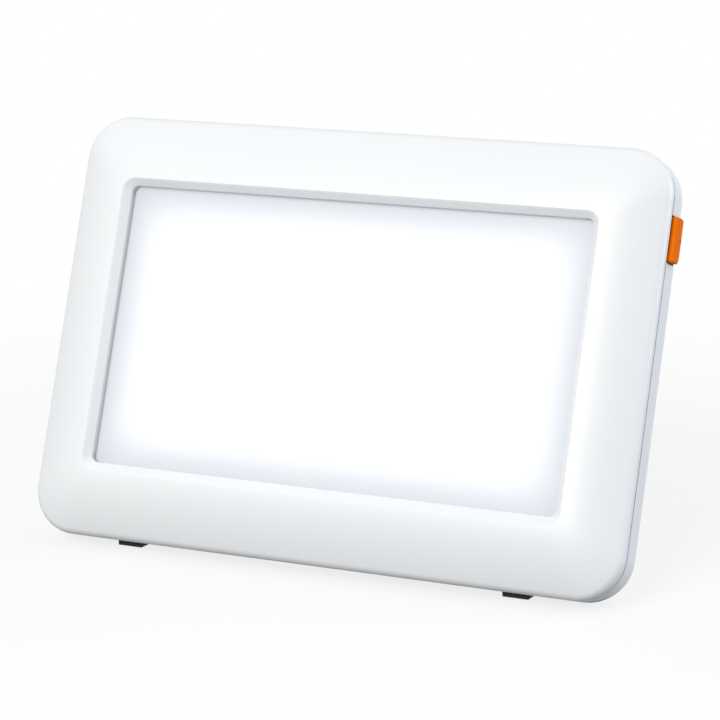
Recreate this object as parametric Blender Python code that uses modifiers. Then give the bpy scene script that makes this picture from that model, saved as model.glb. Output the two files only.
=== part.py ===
"""Compact light therapy lamp.

A white light panel leans back on two rubber feet and on a stand that folds out of
its back. The body is made upright, in its own frame: X to the right, Y from the
front to the back and Z up, with the centre of the front at the origin. The empty
called lamp_lean then tips it back and sets it down on the table.
"""

import math

import bmesh
import bpy
from mathutils import Matrix, Vector

MM = 0.001
RIGHT_ANGLE = math.pi / 2

# How the lamp stands
LEAN_ANGLE = math.radians(20)
STAND_ANGLE = math.radians(38)

# Fits between pieces
SEAT_GAP = 0.3 * MM
RUNNING_GAP = 0.1 * MM
CUT_OVERRUN = 4 * MM
WELD_OVERLAP = 0.8 * MM
WELD_DISTANCE = 0.01 * MM

# Window in the front frame
WINDOW_WIDTH = 202.2 * MM
WINDOW_HEIGHT = 119 * MM
WINDOW_CORNER = 5.2 * MM
WINDOW_LOWERING = 0.6 * MM
MOUTH_CORNER = 2.8 * MM
BEVEL_SIDE_RUN = 2.6 * MM
BEVEL_END_RUN = 3 * MM
BEVEL_DROP = 3.3 * MM
PANEL_SEAT = 6.4 * MM
EDGE_BREAK_SHARE = 0.14
CROWN_START_SHARE = 0.04

# Body outline, seen from the front
FRAME_SIDE = 23.9 * MM
FRAME_END = 26.5 * MM
BODY_WIDTH = WINDOW_WIDTH + 2 * FRAME_SIDE
BODY_HEIGHT = WINDOW_HEIGHT + 2 * FRAME_END
BODY_CORNER = 18 * MM
WALL = 2.2 * MM
LEAST_CORNER = 0.8 * MM
CORNER_STEPS = 7

# Crown and side of the front frame, as depths behind the window's edge
CROWN_DROP = 8 * MM
CROWN_POWER = 1.7
CROWN_SHARES = (CROWN_START_SHARE, 0.3, 0.55, 0.8, 1.0)
INNER_CROWN_SHARES = (0.88, 0.6, 0.35)
EDGE_ROUND = 4.5 * MM
EDGE_STEPS = 4
INNER_EDGE_ROUND = 2.5 * MM
FRAME_RIM = 13.6 * MM
RIM_CHAMFER = 0.9 * MM
RIB_GAP = 0.5 * MM
RIB_WALL = 1.4 * MM
RIB_HEIGHT = 3.2 * MM

# Rear cover
SHADOW_GAP = 0.8 * MM
COVER_INSET = 0.2 * MM
COVER_RIM = FRAME_RIM + SHADOW_GAP
TONGUE_HEIGHT = 2 * MM
TONGUE_WALL = 1.2 * MM
TONGUE_ROOT = 1 * MM
TONGUE_SLOPE = 1.5 * MM
SIDE_LENGTH = 8.4 * MM
SIDE_END = COVER_RIM + SIDE_LENGTH
BACK_ROUND = 6 * MM
BACK_RISE = 8 * MM
BACK_STEPS = 5
BODY_DEPTH = SIDE_END + BACK_RISE

# Light box: diffuser, gasket, reflector tray and LED board
PANEL_THICKNESS = 2.2 * MM
PANEL_OVERLAP = 5 * MM
GASKET_THICKNESS = 0.8 * MM
GASKET_WIDTH = 3.8 * MM
TRAY_WALL = 1.2 * MM
TRAY_FLANGE = 6.4 * MM
TRAY_DEPTH = 7.1 * MM
TRAY_SLOPE_RUN = 10.5 * MM
TRAY_FOOT = 4.5 * MM
TRAY_BACK_WALL = 2.1 * MM
TRAY_EAR_WIDTH = 8 * MM
TRAY_EAR_LENGTH = 8 * MM
TRAY_EAR_INSET = 31.5 * MM
TRAY_EAR_STEP = 0.15 * MM
LED_PLATE_THICKNESS = 1.5 * MM
LED_STRIP_THICKNESS = 1 * MM
LED_STRIP_WIDTH = 8 * MM
LED_STRIP_MARGIN = 6 * MM
LED_END_MARGIN = 12.9 * MM
LED_ROW_MARGIN = 9.15 * MM
LED_COLUMNS = 12
LED_STRIPS = 6
LED_SIZE = 3 * MM
LED_HEIGHT = 0.7 * MM

# Screws and the bosses that hold them
SCREW_SIDES = 14
CASE_SCREW_RADIUS = 1.4 * MM
CASE_SCREW_LENGTH = 9 * MM
CASE_HEAD_RADIUS = 2.6 * MM
CASE_HEAD_HEIGHT = 1.8 * MM
CASE_SCREW_INSET = 14.5 * MM
LOW_SCREW_SPREAD = 90 * MM
LOW_SCREW_INSET = 13 * MM
FRONT_BOSS_RADIUS = 3.2 * MM
BOSS_BITE = 0.4 * MM
FRONT_BOSS_END = 14 * MM
REAR_BOSS_WALL = 1.2 * MM
HEAD_SEAT_WALL = 4 * MM
SMALL_SCREW_RADIUS = 1 * MM
SMALL_SCREW_LENGTH = 4.5 * MM
SMALL_HEAD_RADIUS = 1.9 * MM
SMALL_HEAD_HEIGHT = 1.2 * MM
SMALL_BOSS_RADIUS = 2.5 * MM
HEAD_CROWN_SHARE = 0.8
HEAD_RIM_SHARE = 0.35
TIP_SHARE = 0.5
CROSS_WIDTH_SHARE = 0.3
CROSS_REACH_SHARE = 0.72
CROSS_DEPTH_SHARE = 0.55
PRESS_POST_INSET_X = 14.4 * MM
PRESS_POST_INSET_Z = 17.4 * MM
PRESS_POST_RADIUS = 2 * MM

# Control board in the left margin, with the power socket
BOARD_THICKNESS = 1.6 * MM
BOARD_FACE = 24.2 * MM
CONTROL_BOARD_WIDTH = 13 * MM
CONTROL_BOARD_LENGTH = 74 * MM
CONTROL_BOARD_INSET = 12.5 * MM
CONTROL_BOARD_X = CONTROL_BOARD_INSET - BODY_WIDTH / 2
CONTROL_BOARD_Z = -14 * MM
CONTROL_SCREW_INSET = 4 * MM
CONTROL_SCREW_SPREAD = CONTROL_BOARD_LENGTH - 2 * CONTROL_SCREW_INSET
CONTROL_BOARD_TOP = CONTROL_BOARD_Z + CONTROL_BOARD_LENGTH / 2
SOCKET_DROP = 16 * MM
SOCKET_Z = CONTROL_BOARD_Z - SOCKET_DROP
SOCKET_WIDTH = 9 * MM
SOCKET_LENGTH = 12 * MM
SOCKET_HEIGHT = 9.2 * MM
SOCKET_NOSE_RADIUS = 3.7 * MM
SOCKET_BORE_RADIUS = 2.8 * MM
SOCKET_BORE_DEPTH = 9 * MM
SOCKET_PIN_RADIUS = 1 * MM
SOCKET_PIN_LENGTH = 8 * MM
SOCKET_RECESS = 0.4 * MM
SOCKET_SETBACK = 4 * MM
CHIP_SIZE = (5 * MM, 1.5 * MM, 4 * MM)
CHIP_DROP = 19.8 * MM
CHIP_SPREAD_SHARE = 0.2
CHIP_Z = CONTROL_BOARD_Z + CONTROL_BOARD_LENGTH * CHIP_SPREAD_SHARE - CHIP_DROP
CAPACITOR_RADIUS = 4 * MM
CAPACITOR_HEIGHT = 8.8 * MM
CAPACITOR_DROP = 24.6 * MM
CAPACITOR_SPREAD_SHARE = 0.4
CAPACITOR_Z = CONTROL_BOARD_Z + CONTROL_BOARD_LENGTH * CAPACITOR_SPREAD_SHARE - CAPACITOR_DROP
INDUCTOR_SIZE = (7 * MM, 3 * MM, 6.5 * MM)
INDUCTOR_INSET = 22.2 * MM
INDUCTOR_Z = CONTROL_BOARD_TOP - INDUCTOR_INSET
HEADER_SIZE = (6 * MM, 4.4 * MM, 4.6 * MM)
LED_HEADER_INSET = 15.4 * MM
SWITCH_HEADER_INSET = 10 * MM
LED_HEADER_Z = CONTROL_BOARD_TOP - LED_HEADER_INSET
SWITCH_HEADER_Z = CONTROL_BOARD_TOP - SWITCH_HEADER_INSET
HEADER_SHIFT = 3 * MM
LED_PLUG_INSET = 9.4 * MM
LED_PLUG_SIZE = (6 * MM, 3.6 * MM, 4.6 * MM)
WIRE_RADIUS = 0.6 * MM
WIRE_SPACING = 1.9 * MM
WIRE_SAG = 0.9 * MM

# Push button in the right side, and the switch behind it
BUTTON_INSET = 33 * MM
BUTTON_Z = BODY_HEIGHT / 2 - BUTTON_INSET
BUTTON_LENGTH = 17.4 * MM
BUTTON_DEPTH = 7.8 * MM
BUTTON_START_GAP = 0.3 * MM
BUTTON_PROUD = 2.6 * MM
BUTTON_EDGE = 0.6 * MM
BUTTON_RIDGE = 3.4 * MM
BUTTON_FRONT_FALL = 1 * MM
BUTTON_REAR_FALL = 0.4 * MM
BUTTON_CORNERS = (1.2 * MM, 0.9 * MM, 0.9 * MM, 3 * MM)
BUTTON_CORNER_STEPS = 3
BUTTON_FLANGE = 1.1 * MM
BUTTON_FLANGE_WALL = 1.4 * MM
BUTTON_FLANGE_X = BODY_WIDTH / 2 - COVER_INSET - WALL - SEAT_GAP
BUTTON_BOSS_RADIUS = 2 * MM
BUTTON_GAP = 0.35 * MM
SWITCH_BOARD_WIDTH = 13 * MM
SWITCH_BOARD_LENGTH = 23 * MM
SWITCH_BOARD_INSET = 14 * MM
SWITCH_BOARD_X = BODY_WIDTH / 2 - SWITCH_BOARD_INSET
SWITCH_SCREW_INSET = 3.5 * MM
SWITCH_SCREW_SPREAD = SWITCH_BOARD_LENGTH - 2 * SWITCH_SCREW_INSET
SWITCH_SCREW_SHIFT = 3.5 * MM
SWITCH_WIDTH = 6 * MM
SWITCH_HEIGHT = 7 * MM
SWITCH_BODY_LENGTH = 2.8 * MM
SWITCH_COVER_WALL = 0.4 * MM
PLUNGER_RADIUS = 1.6 * MM
PLUNGER_LENGTH = 3.6 * MM
PLUNGER_INSET = 6.8 * MM
PLUNGER_END_X = BODY_WIDTH / 2 - PLUNGER_INSET
PLUNGER_PROUD = 2.2 * MM

# Fold-out stand
STAND_WIDTH = 60 * MM
STAND_THICKNESS = 4 * MM
STAND_SIDE_GAP = 0.5 * MM
STAND_FLOOR_GAP = 0.4 * MM
STAND_SINK = 0.8 * MM
STAND_EDGE_ROUND = 0.8 * MM
STAND_PANEL_MARGIN = 6 * MM
STAND_PANEL_DEPTH = 0.8 * MM
HINGE_Z = 12 * MM
AXLE_RADIUS = 1.5 * MM
AXLE_OVERHANG = 1.2 * MM
BARREL_RADIUS = 2.4 * MM
WELL_DROP = 3.4 * MM
WELL_BELOW = 4.5 * MM
HEEL_CLEARANCE = 0.4 * MM
POCKET_WALL = 1.8 * MM
STAND_PAD_HEIGHT = 4.5 * MM
STAND_PAD_INSET = 3 * MM
PAD_TONGUE_HEIGHT = 3 * MM
PAD_TONGUE_WALL = 1.4 * MM

# Feet under the body
FOOT_LEFT_INSET = 40.1 * MM
FOOT_RIGHT_INSET = 44.1 * MM
FOOT_LEFT_X = FOOT_LEFT_INSET - BODY_WIDTH / 2
FOOT_RIGHT_X = BODY_WIDTH / 2 - FOOT_RIGHT_INSET
FOOT_LENGTH = 11.6 * MM
FOOT_TAPER = 0.5 * MM
FOOT_START = 21.2 * MM
FOOT_DEPTH = 5.2 * MM
FOOT_PROUD = 1.9 * MM
FOOT_RECESS = 0.9 * MM
FOOT_STEM_SETBACK = 1.9 * MM
FOOT_STEM_RADIUS = 1.3 * MM
FOOT_BARB_RADIUS = 2.1 * MM
FOOT_BARB_HEIGHT = 1.2 * MM
FOOT_BARB_GAP = 0.6 * MM

ROUND_SIDES = 20
THROUGH = BODY_WIDTH


class Outline:
    """A rounded rectangle seen from the front, which can be inset or blended."""

    def __init__(self, width, height, corner, lowering=0.0):
        self.width, self.height, self.corner = width, height, corner
        self.lowering = lowering

    def inset(self, amount):
        """The outline moved inwards by amount, or outwards where amount is negative."""
        corner = max(self.corner - amount, LEAST_CORNER)
        return Outline(self.width - 2 * amount, self.height - 2 * amount, corner, self.lowering)

    def toward(self, other, share):
        """The outline that lies a share of the way from this one to the other."""
        width = self.width + (other.width - self.width) * share
        height = self.height + (other.height - self.height) * share
        corner = self.corner + (other.corner - self.corner) * share
        lowering = self.lowering + (other.lowering - self.lowering) * share
        return Outline(width, height, corner, lowering)

    def ring(self, depth):
        """Its points at one depth, anticlockwise from the right side."""
        points = []
        for corner in range(4):
            right = 1 if corner in (0, 3) else -1
            up = 1 if corner in (0, 1) else -1
            for step in range(CORNER_STEPS + 1):
                angle = (corner + step / CORNER_STEPS) * RIGHT_ANGLE
                x = right * (self.width / 2 - self.corner) + self.corner * math.cos(angle)
                z = up * (self.height / 2 - self.corner) + self.corner * math.sin(angle)
                points.append((x, depth, z - self.lowering))
        return points


BODY = Outline(BODY_WIDTH, BODY_HEIGHT, BODY_CORNER)
WINDOW = Outline(WINDOW_WIDTH, WINDOW_HEIGHT, WINDOW_CORNER, WINDOW_LOWERING)
MOUTH = Outline(
    WINDOW_WIDTH - 2 * BEVEL_SIDE_RUN, WINDOW_HEIGHT - 2 * BEVEL_END_RUN, MOUTH_CORNER
)
SIDE = BODY.inset(COVER_INSET)

# The collections, and the empty that carries the whole lamp
for old in list(bpy.data.objects):
    bpy.data.objects.remove(old)
PARTS = bpy.data.collections.new("light_therapy_lamp")
CUTTERS = bpy.data.collections.new("cutters")
for group in (PARTS, CUTTERS):
    bpy.context.scene.collection.children.link(group)
LEAN = bpy.data.objects.new("lamp_lean", None)
PARTS.objects.link(LEAN)


def finish(name, colour, roughness, metallic=0.0):
    """A Principled material."""
    made = bpy.data.materials.new(name)
    made.use_nodes = True
    shader = made.node_tree.nodes["Principled BSDF"]
    shader.inputs["Base Color"].default_value = (*colour, 1.0)
    shader.inputs["Roughness"].default_value = roughness
    shader.inputs["Metallic"].default_value = metallic
    made.diffuse_color = (*colour, 1.0)
    return made


WHITE_SHELL = finish("white_shell", (0.90, 0.91, 0.93), 0.35)
OPAL = finish("opal_diffuser", (0.95, 0.96, 0.98), 0.45)
ORANGE = finish("orange_button", (0.90, 0.19, 0.01), 0.35)
RUBBER = finish("black_rubber", (0.02, 0.02, 0.025), 0.7)
TRAY_WHITE = finish("white_tray", (0.93, 0.93, 0.92), 0.6)
FOAM = finish("grey_foam", (0.30, 0.30, 0.31), 0.9)
BOARD_WHITE = finish("white_board", (0.86, 0.87, 0.84), 0.5)
BOARD_GREEN = finish("green_board", (0.03, 0.22, 0.09), 0.45)
ALUMINIUM = finish("aluminium_plate", (0.78, 0.79, 0.80), 0.35, 1.0)
BLACK_PLASTIC = finish("black_plastic", (0.03, 0.03, 0.03), 0.5)
CONNECTOR_CREAM = finish("connector_cream", (0.85, 0.80, 0.66), 0.5)
STEEL = finish("steel", (0.62, 0.63, 0.65), 0.3, 1.0)
WIRE_RED = finish("wire_red", (0.55, 0.03, 0.02), 0.5)


def add(name, mesh, material, parent=LEAN, collection=PARTS):
    """An object in the lamp, or a cutter when no material is given."""
    made = bpy.data.objects.new(name, mesh)
    collection.objects.link(made)
    made.parent = parent
    if material is None:
        made.hide_render = True
        made.display_type = "WIRE"
    else:
        mesh.materials.clear()
        mesh.materials.append(material)
    return made


def mesh_from(builder, name, smooth_angle=None):
    """Closes a bmesh into a mesh whose faces point out."""
    bmesh.ops.recalc_face_normals(builder, faces=builder.faces)
    if builder.calc_volume(signed=True) < 0:
        bmesh.ops.reverse_faces(builder, faces=builder.faces)
    mesh = bpy.data.meshes.new(name)
    builder.to_mesh(mesh)
    builder.free()
    if smooth_angle is not None:
        mesh.shade_smooth()
        mesh.set_sharp_from_angle(angle=smooth_angle)
    return mesh


def loft(name, rings, closed):
    """A skin through rings of points: a closed round trip, or capped at both ends."""
    builder = bmesh.new()
    loops = [[builder.verts.new(point) for point in ring] for ring in rings]
    pairs = list(zip(loops, loops[1:]))
    if closed:
        pairs.append((loops[-1], loops[0]))
    else:
        builder.faces.new(loops[0])
        builder.faces.new(loops[-1])
    for near, far in pairs:
        for index in range(len(near)):
            after = (index + 1) % len(near)
            builder.faces.new((near[index], near[after], far[after], far[index]))
    return mesh_from(builder, name, math.radians(35))


def box_into(builder, low, high):
    """Adds a box between two corners to a bmesh, and returns its vertices."""
    low, high = Vector(low), Vector(high)
    size = high - low
    place = Matrix.Translation((low + high) / 2) @ Matrix.Diagonal((*size, 1))
    return bmesh.ops.create_cube(builder, size=1, matrix=place)["verts"]


def rod_into(builder, start, end, radius, sides=ROUND_SIDES, end_radius=None):
    """Adds a round rod, or a cone, between two points to a bmesh."""
    start, end = Vector(start), Vector(end)
    along = end - start
    turn = along.to_track_quat("Z", "Y").to_matrix().to_4x4()
    place = Matrix.Translation((start + end) / 2) @ turn
    bmesh.ops.create_cone(
        builder,
        cap_ends=True,
        segments=sides,
        radius1=radius,
        radius2=radius if end_radius is None else end_radius,
        depth=along.length,
        matrix=place,
    )


def boxes(name, corners):
    """One mesh of separate boxes."""
    builder = bmesh.new()
    for low, high in corners:
        box_into(builder, low, high)
    return mesh_from(builder, name)


def rods(name, ends, radius, sides=ROUND_SIDES):
    """One mesh of separate rods of one radius."""
    builder = bmesh.new()
    for start, end in ends:
        rod_into(builder, start, end, radius, sides)
    return mesh_from(builder, name, math.radians(40))


def boolean(target, mesh, operation, parent=LEAN):
    """Joins a mesh to the target, or cuts it away."""
    tool = add(mesh.name, mesh, None, parent, CUTTERS)
    step = target.modifiers.new(mesh.name, "BOOLEAN")
    step.operation = operation
    step.solver = "EXACT"
    step.object = tool
    return tool


def bevelled(target, width, segments=2):
    """Rounds an object's edges."""
    step = target.modifiers.new("rounded_edges", "BEVEL")
    step.width = width
    step.segments = segments
    step.limit_method = "ANGLE"
    step.angle_limit = math.radians(40)


def evaluated_mesh(source, name):
    """The mesh that an object shows with its modifiers applied, as a mesh of its own."""
    graph = bpy.context.evaluated_depsgraph_get()
    made = bpy.data.meshes.new_from_object(source.evaluated_get(graph))
    made.name = name
    return made


def crown_depth(share):
    """How far the frame's front has dropped at a share of its width."""
    return CROWN_DROP * share**CROWN_POWER


# Front frame: crowned face, rounded edge, side wall, and the window's bevel and seat
EDGE_START = math.atan2(CROWN_POWER * CROWN_DROP, FRAME_SIDE)
CROWN_EDGE = BODY.inset(EDGE_ROUND * (1 - math.sin(EDGE_START)))
RIB_INNER = MOUTH.inset(-PANEL_OVERLAP - RIB_GAP)
RIB_OUTER = RIB_INNER.inset(-RIB_WALL)
FRAME_INSIDE = BODY.inset(WALL)


def frame_rings():
    """The front frame's cross-section, carried round the window and back to its start."""
    rings = [
        WINDOW.toward(CROWN_EDGE, share).ring(crown_depth(share)) for share in CROWN_SHARES
    ]
    for step in range(1, EDGE_STEPS + 1):
        angle = EDGE_START + (RIGHT_ANGLE - EDGE_START) * step / EDGE_STEPS
        depth = CROWN_DROP + EDGE_ROUND * (math.cos(EDGE_START) - math.cos(angle))
        rings.append(BODY.inset(EDGE_ROUND * (1 - math.sin(angle))).ring(depth))
    rings.append(BODY.ring(FRAME_RIM - RIM_CHAMFER))
    rings.append(BODY.inset(RIM_CHAMFER).ring(FRAME_RIM))
    rings.append(FRAME_INSIDE.ring(FRAME_RIM))
    rings.append(FRAME_INSIDE.ring(CROWN_DROP + INNER_EDGE_ROUND))
    for share in INNER_CROWN_SHARES:
        rings.append(WINDOW.toward(FRAME_INSIDE, share).ring(crown_depth(share) + WALL))
    rings.append(RIB_OUTER.ring(PANEL_SEAT - BEVEL_DROP))
    rings.append(RIB_OUTER.ring(PANEL_SEAT + RIB_HEIGHT))
    rings.append(RIB_INNER.ring(PANEL_SEAT + RIB_HEIGHT))
    rings.append(RIB_INNER.ring(PANEL_SEAT))
    rings.append(MOUTH.ring(PANEL_SEAT))
    rings.append(MOUTH.ring(BEVEL_DROP))
    rings.append(WINDOW.toward(MOUTH, EDGE_BREAK_SHARE).ring(BEVEL_DROP * EDGE_BREAK_SHARE))
    return rings


def case_screw_places():
    """Where the screws hold the cover to the frame, as X and Z."""
    corners = [
        (sx * (BODY_WIDTH / 2 - CASE_SCREW_INSET), sz * (BODY_HEIGHT / 2 - CASE_SCREW_INSET))
        for sx in (-1, 1)
        for sz in (-1, 1)
    ]
    low = LOW_SCREW_INSET - BODY_HEIGHT / 2
    return corners + [(sx * LOW_SCREW_SPREAD / 2, low) for sx in (-1, 1)]


# The light box stacks behind the seat, each piece a seat gap from the last
PANEL_FRONT = PANEL_SEAT + SEAT_GAP
PANEL_BACK = PANEL_FRONT + PANEL_THICKNESS
GASKET_FRONT = PANEL_BACK + SEAT_GAP
GASKET_BACK = GASKET_FRONT + GASKET_THICKNESS
TRAY_FRONT = GASKET_BACK + SEAT_GAP
TRAY_BACK = TRAY_FRONT + TRAY_DEPTH
LED_PLATE_FRONT = TRAY_BACK + SEAT_GAP
LED_PLATE_BACK = LED_PLATE_FRONT + LED_PLATE_THICKNESS
PANEL = MOUTH.inset(-PANEL_OVERLAP)
TRAY_OPENING = MOUTH.inset(-WIRE_SPACING)
TRAY_BASE = TRAY_OPENING.inset(TRAY_SLOPE_RUN)
PLATE = TRAY_BASE.inset(-TRAY_FOOT)
LED_PLUG_X = LED_PLUG_INSET - PLATE.width / 2
LED_PITCH = (TRAY_BASE.width - 2 * LED_END_MARGIN) / (LED_COLUMNS - 1)
LED_STRIP_PITCH = (TRAY_BASE.height - 2 * LED_ROW_MARGIN) / (LED_STRIPS - 1)
EAR_MIDDLE = WINDOW_HEIGHT / 2 + TRAY_EAR_LENGTH


def tray_ear_places():
    """Where the tray is screwed to the frame, as X and Z."""
    return [
        (sx * (WINDOW_WIDTH / 2 - TRAY_EAR_INSET), sz * EAR_MIDDLE)
        for sx in (-1, 1)
        for sz in (-1, 1)
    ]


def distance_outside(outline, x, z):
    """How far a point lies outside an outline."""
    across = abs(x) - (outline.width / 2 - outline.corner)
    up = abs(z + outline.lowering) - (outline.height / 2 - outline.corner)
    return math.hypot(max(across, 0), max(up, 0)) + min(max(across, up), 0) - outline.corner


def boss_root(x, z, radius):
    """The depth at which a boss behind the crown starts, inside the frame's wall."""
    low, high = 0.0, 1.0
    for _ in range(20):
        share = (low + high) / 2
        if distance_outside(WINDOW.toward(CROWN_EDGE, share), x, z) + radius > 0:
            low = share
        else:
            high = share
    return crown_depth(low) + BOSS_BITE


def make_front_frame():
    """The frame with the bosses that take the case screws and the tray's screws."""
    frame = add("front_frame", loft("front_frame", frame_rings(), True), WHITE_SHELL)
    case = [
        ((x, boss_root(x, z, FRONT_BOSS_RADIUS), z), (x, FRONT_BOSS_END, z))
        for x, z in case_screw_places()
    ]
    boolean(frame, rods("frame_case_bosses", case, FRONT_BOSS_RADIUS), "UNION")
    ears = [
        ((x, boss_root(x, z, SMALL_BOSS_RADIUS), z), (x, TRAY_FRONT - SEAT_GAP, z))
        for x, z in tray_ear_places()
    ]
    boolean(frame, rods("frame_tray_bosses", ears, SMALL_BOSS_RADIUS), "UNION")
    case_pilot = [
        ((x, SCREW_SEAT - CASE_SCREW_LENGTH, z), (x, FRONT_BOSS_END + CUT_OVERRUN, z))
        for x, z in case_screw_places()
    ]
    boolean(
        frame,
        rods("frame_case_pilots", case_pilot, CASE_SCREW_RADIUS + SEAT_GAP, SCREW_SIDES),
        "DIFFERENCE",
    )
    ear_pilot = [
        ((x, TRAY_FRONT - SMALL_SCREW_LENGTH, z), (x, TRAY_FRONT + CUT_OVERRUN, z))
        for x, z in tray_ear_places()
    ]
    boolean(
        frame,
        rods("frame_tray_pilots", ear_pilot, SMALL_SCREW_RADIUS + SEAT_GAP, SCREW_SIDES),
        "DIFFERENCE",
    )


def make_light_box():
    """The diffuser, its gasket, the reflector tray and the LED board with its LEDs."""
    panel_rings = [PANEL.ring(PANEL_FRONT), PANEL.ring(PANEL_BACK)]
    add("diffuser_panel", loft("diffuser_panel", panel_rings, False), OPAL)
    gasket_inner = PANEL.inset(GASKET_WIDTH)
    gasket_rings = [
        PANEL.ring(GASKET_FRONT),
        PANEL.ring(GASKET_BACK),
        gasket_inner.ring(GASKET_BACK),
        gasket_inner.ring(GASKET_FRONT),
    ]
    add("panel_gasket", loft("panel_gasket", gasket_rings, True), FOAM)

    flange = TRAY_OPENING.inset(-TRAY_FLANGE)
    tray_rings = [
        TRAY_OPENING.ring(TRAY_FRONT),
        flange.ring(TRAY_FRONT),
        flange.ring(TRAY_FRONT + TRAY_WALL),
        TRAY_OPENING.inset(-TRAY_BACK_WALL).ring(TRAY_FRONT + TRAY_WALL),
        TRAY_BASE.inset(-TRAY_BACK_WALL).ring(TRAY_BACK - TRAY_WALL),
        PLATE.ring(TRAY_BACK - TRAY_WALL),
        PLATE.ring(TRAY_BACK),
        TRAY_BASE.ring(TRAY_BACK),
        TRAY_BASE.ring(TRAY_BACK - TRAY_WALL),
    ]
    tray = add("reflector_tray", loft("reflector_tray", tray_rings, True), TRAY_WHITE)
    ears = []
    for x, z in tray_ear_places():
        outward = math.copysign(1, z)
        far = z + outward * TRAY_EAR_LENGTH / 2
        near = outward * (flange.height / 2 - WELD_OVERLAP)
        low_z, high_z = sorted((near, far))
        half = TRAY_EAR_WIDTH / 2
        inner = TRAY_FRONT + TRAY_EAR_STEP
        outer = TRAY_FRONT + TRAY_WALL - TRAY_EAR_STEP
        ears.append(((x - half, inner, low_z), (x + half, outer, high_z)))
    boolean(tray, boxes("tray_ears", ears), "UNION")
    holes = [
        ((x, TRAY_FRONT - CUT_OVERRUN, z), (x, TRAY_FRONT + CUT_OVERRUN, z))
        for x, z in tray_ear_places()
    ]
    hole_radius = SMALL_SCREW_RADIUS + SEAT_GAP
    boolean(tray, rods("tray_ear_holes", holes, hole_radius, SCREW_SIDES), "DIFFERENCE")

    plate_rings = [PLATE.ring(LED_PLATE_FRONT), PLATE.ring(LED_PLATE_BACK)]
    add("led_plate", loft("led_plate", plate_rings, False), ALUMINIUM)
    half_length = (LED_COLUMNS - 1) * LED_PITCH / 2 + LED_STRIP_MARGIN
    half_width = LED_STRIP_WIDTH / 2
    strip_back = LED_PLATE_FRONT - SEAT_GAP
    strip_front = strip_back - LED_STRIP_THICKNESS
    strip = boxes(
        "led_strip", [((-half_length, strip_front, -half_width), (half_length, strip_back, half_width))]
    )
    half = LED_SIZE / 2
    led_root = strip_back - WELD_OVERLAP / 2
    led_corners = []
    for column in range(LED_COLUMNS):
        x = (column - (LED_COLUMNS - 1) / 2) * LED_PITCH
        led_corners.append(
            ((x - half, strip_front - LED_HEIGHT, -half), (x + half, led_root, half))
        )
    blank = add("led_strip_blank", strip, None, None, CUTTERS)
    boolean(blank, boxes("led_lights", led_corners), "UNION", None)
    populated = evaluated_mesh(blank, "led_strip")
    for row in range(LED_STRIPS):
        made = add(f"led_strip_{row + 1}", populated, BOARD_WHITE)
        made.location.z = (row - (LED_STRIPS - 1) / 2) * LED_STRIP_PITCH


# Stand geometry, worked out from where the lamp touches the table
POCKET_FLOOR = BODY_DEPTH - STAND_SINK - STAND_THICKNESS - STAND_FLOOR_GAP
HINGE_Y = BODY_DEPTH - STAND_SINK - STAND_THICKNESS / 2
WELL_FLOOR = POCKET_FLOOR - WELL_DROP
HEEL_LENGTH = (
    HINGE_Y - WELL_FLOOR - HEEL_CLEARANCE - STAND_THICKNESS / 2 * math.cos(STAND_ANGLE)
) / math.sin(STAND_ANGLE)
HEEL_REACH = math.hypot(HEEL_LENGTH, STAND_THICKNESS / 2)
WELL_TOP = HINGE_Z + HEEL_REACH + HEEL_CLEARANCE
POCKET_HALF = STAND_WIDTH / 2 + STAND_SIDE_GAP
STAND_TILT = STAND_ANGLE - LEAN_ANGLE
FOOT_END = FOOT_START + FOOT_DEPTH
FOOT_TOP = FOOT_RECESS - SIDE.height / 2 - SEAT_GAP
FOOT_BOTTOM = -SIDE.height / 2 - FOOT_PROUD
FOOT_STEM_Y = FOOT_START + FOOT_STEM_SETBACK
TABLE_LEVEL = FOOT_BOTTOM * math.cos(LEAN_ANGLE) - FOOT_START * math.sin(LEAN_ANGLE)
HINGE_HEIGHT = HINGE_Z * math.cos(LEAN_ANGLE) - HINGE_Y * math.sin(LEAN_ANGLE) - TABLE_LEVEL


def table_reach(offset):
    """How far the table lies from the hinge, measured down the leg at an offset across it."""
    return (HINGE_HEIGHT + offset * math.sin(STAND_TILT)) / math.cos(STAND_TILT)


STAND_REACH = table_reach(0.0)
LEG_END = STAND_REACH - STAND_PAD_HEIGHT
BUTTON_Y = COVER_RIM + BUTTON_START_GAP + BUTTON_DEPTH / 2
SOCKET_Y = BOARD_FACE - SEAT_GAP - SOCKET_HEIGHT / 2
SCREW_SEAT = FRONT_BOSS_END + SEAT_GAP + HEAD_SEAT_WALL
REAR_BOSS_RADIUS = CASE_HEAD_RADIUS + SEAT_GAP + REAR_BOSS_WALL


def cover_rings():
    """The rear cover, from the middle of its back round its rim to the inside of the back."""
    rings = []
    for step in range(BACK_STEPS, -1, -1):
        angle = RIGHT_ANGLE * step / BACK_STEPS
        outline = SIDE.inset(BACK_ROUND * (1 - math.cos(angle)))
        rings.append(outline.ring(SIDE_END + BACK_RISE * math.sin(angle)))
    tongue = BODY.inset(WALL + SEAT_GAP)
    tongue_inner = tongue.inset(TONGUE_WALL)
    inside = SIDE.inset(WALL)
    rings.append(SIDE.ring(COVER_RIM))
    rings.append(tongue.ring(COVER_RIM))
    rings.append(tongue.ring(COVER_RIM - TONGUE_HEIGHT))
    rings.append(tongue_inner.ring(COVER_RIM - TONGUE_HEIGHT))
    rings.append(tongue_inner.ring(COVER_RIM + TONGUE_ROOT))
    rings.append(inside.ring(COVER_RIM + TONGUE_ROOT + TONGUE_SLOPE))
    for step in range(BACK_STEPS + 1):
        angle = RIGHT_ANGLE * step / BACK_STEPS
        outline = inside.inset((BACK_ROUND - WALL) * (1 - math.cos(angle)))
        rings.append(outline.ring(SIDE_END + (BACK_RISE - WALL) * math.sin(angle)))
    return rings


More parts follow.
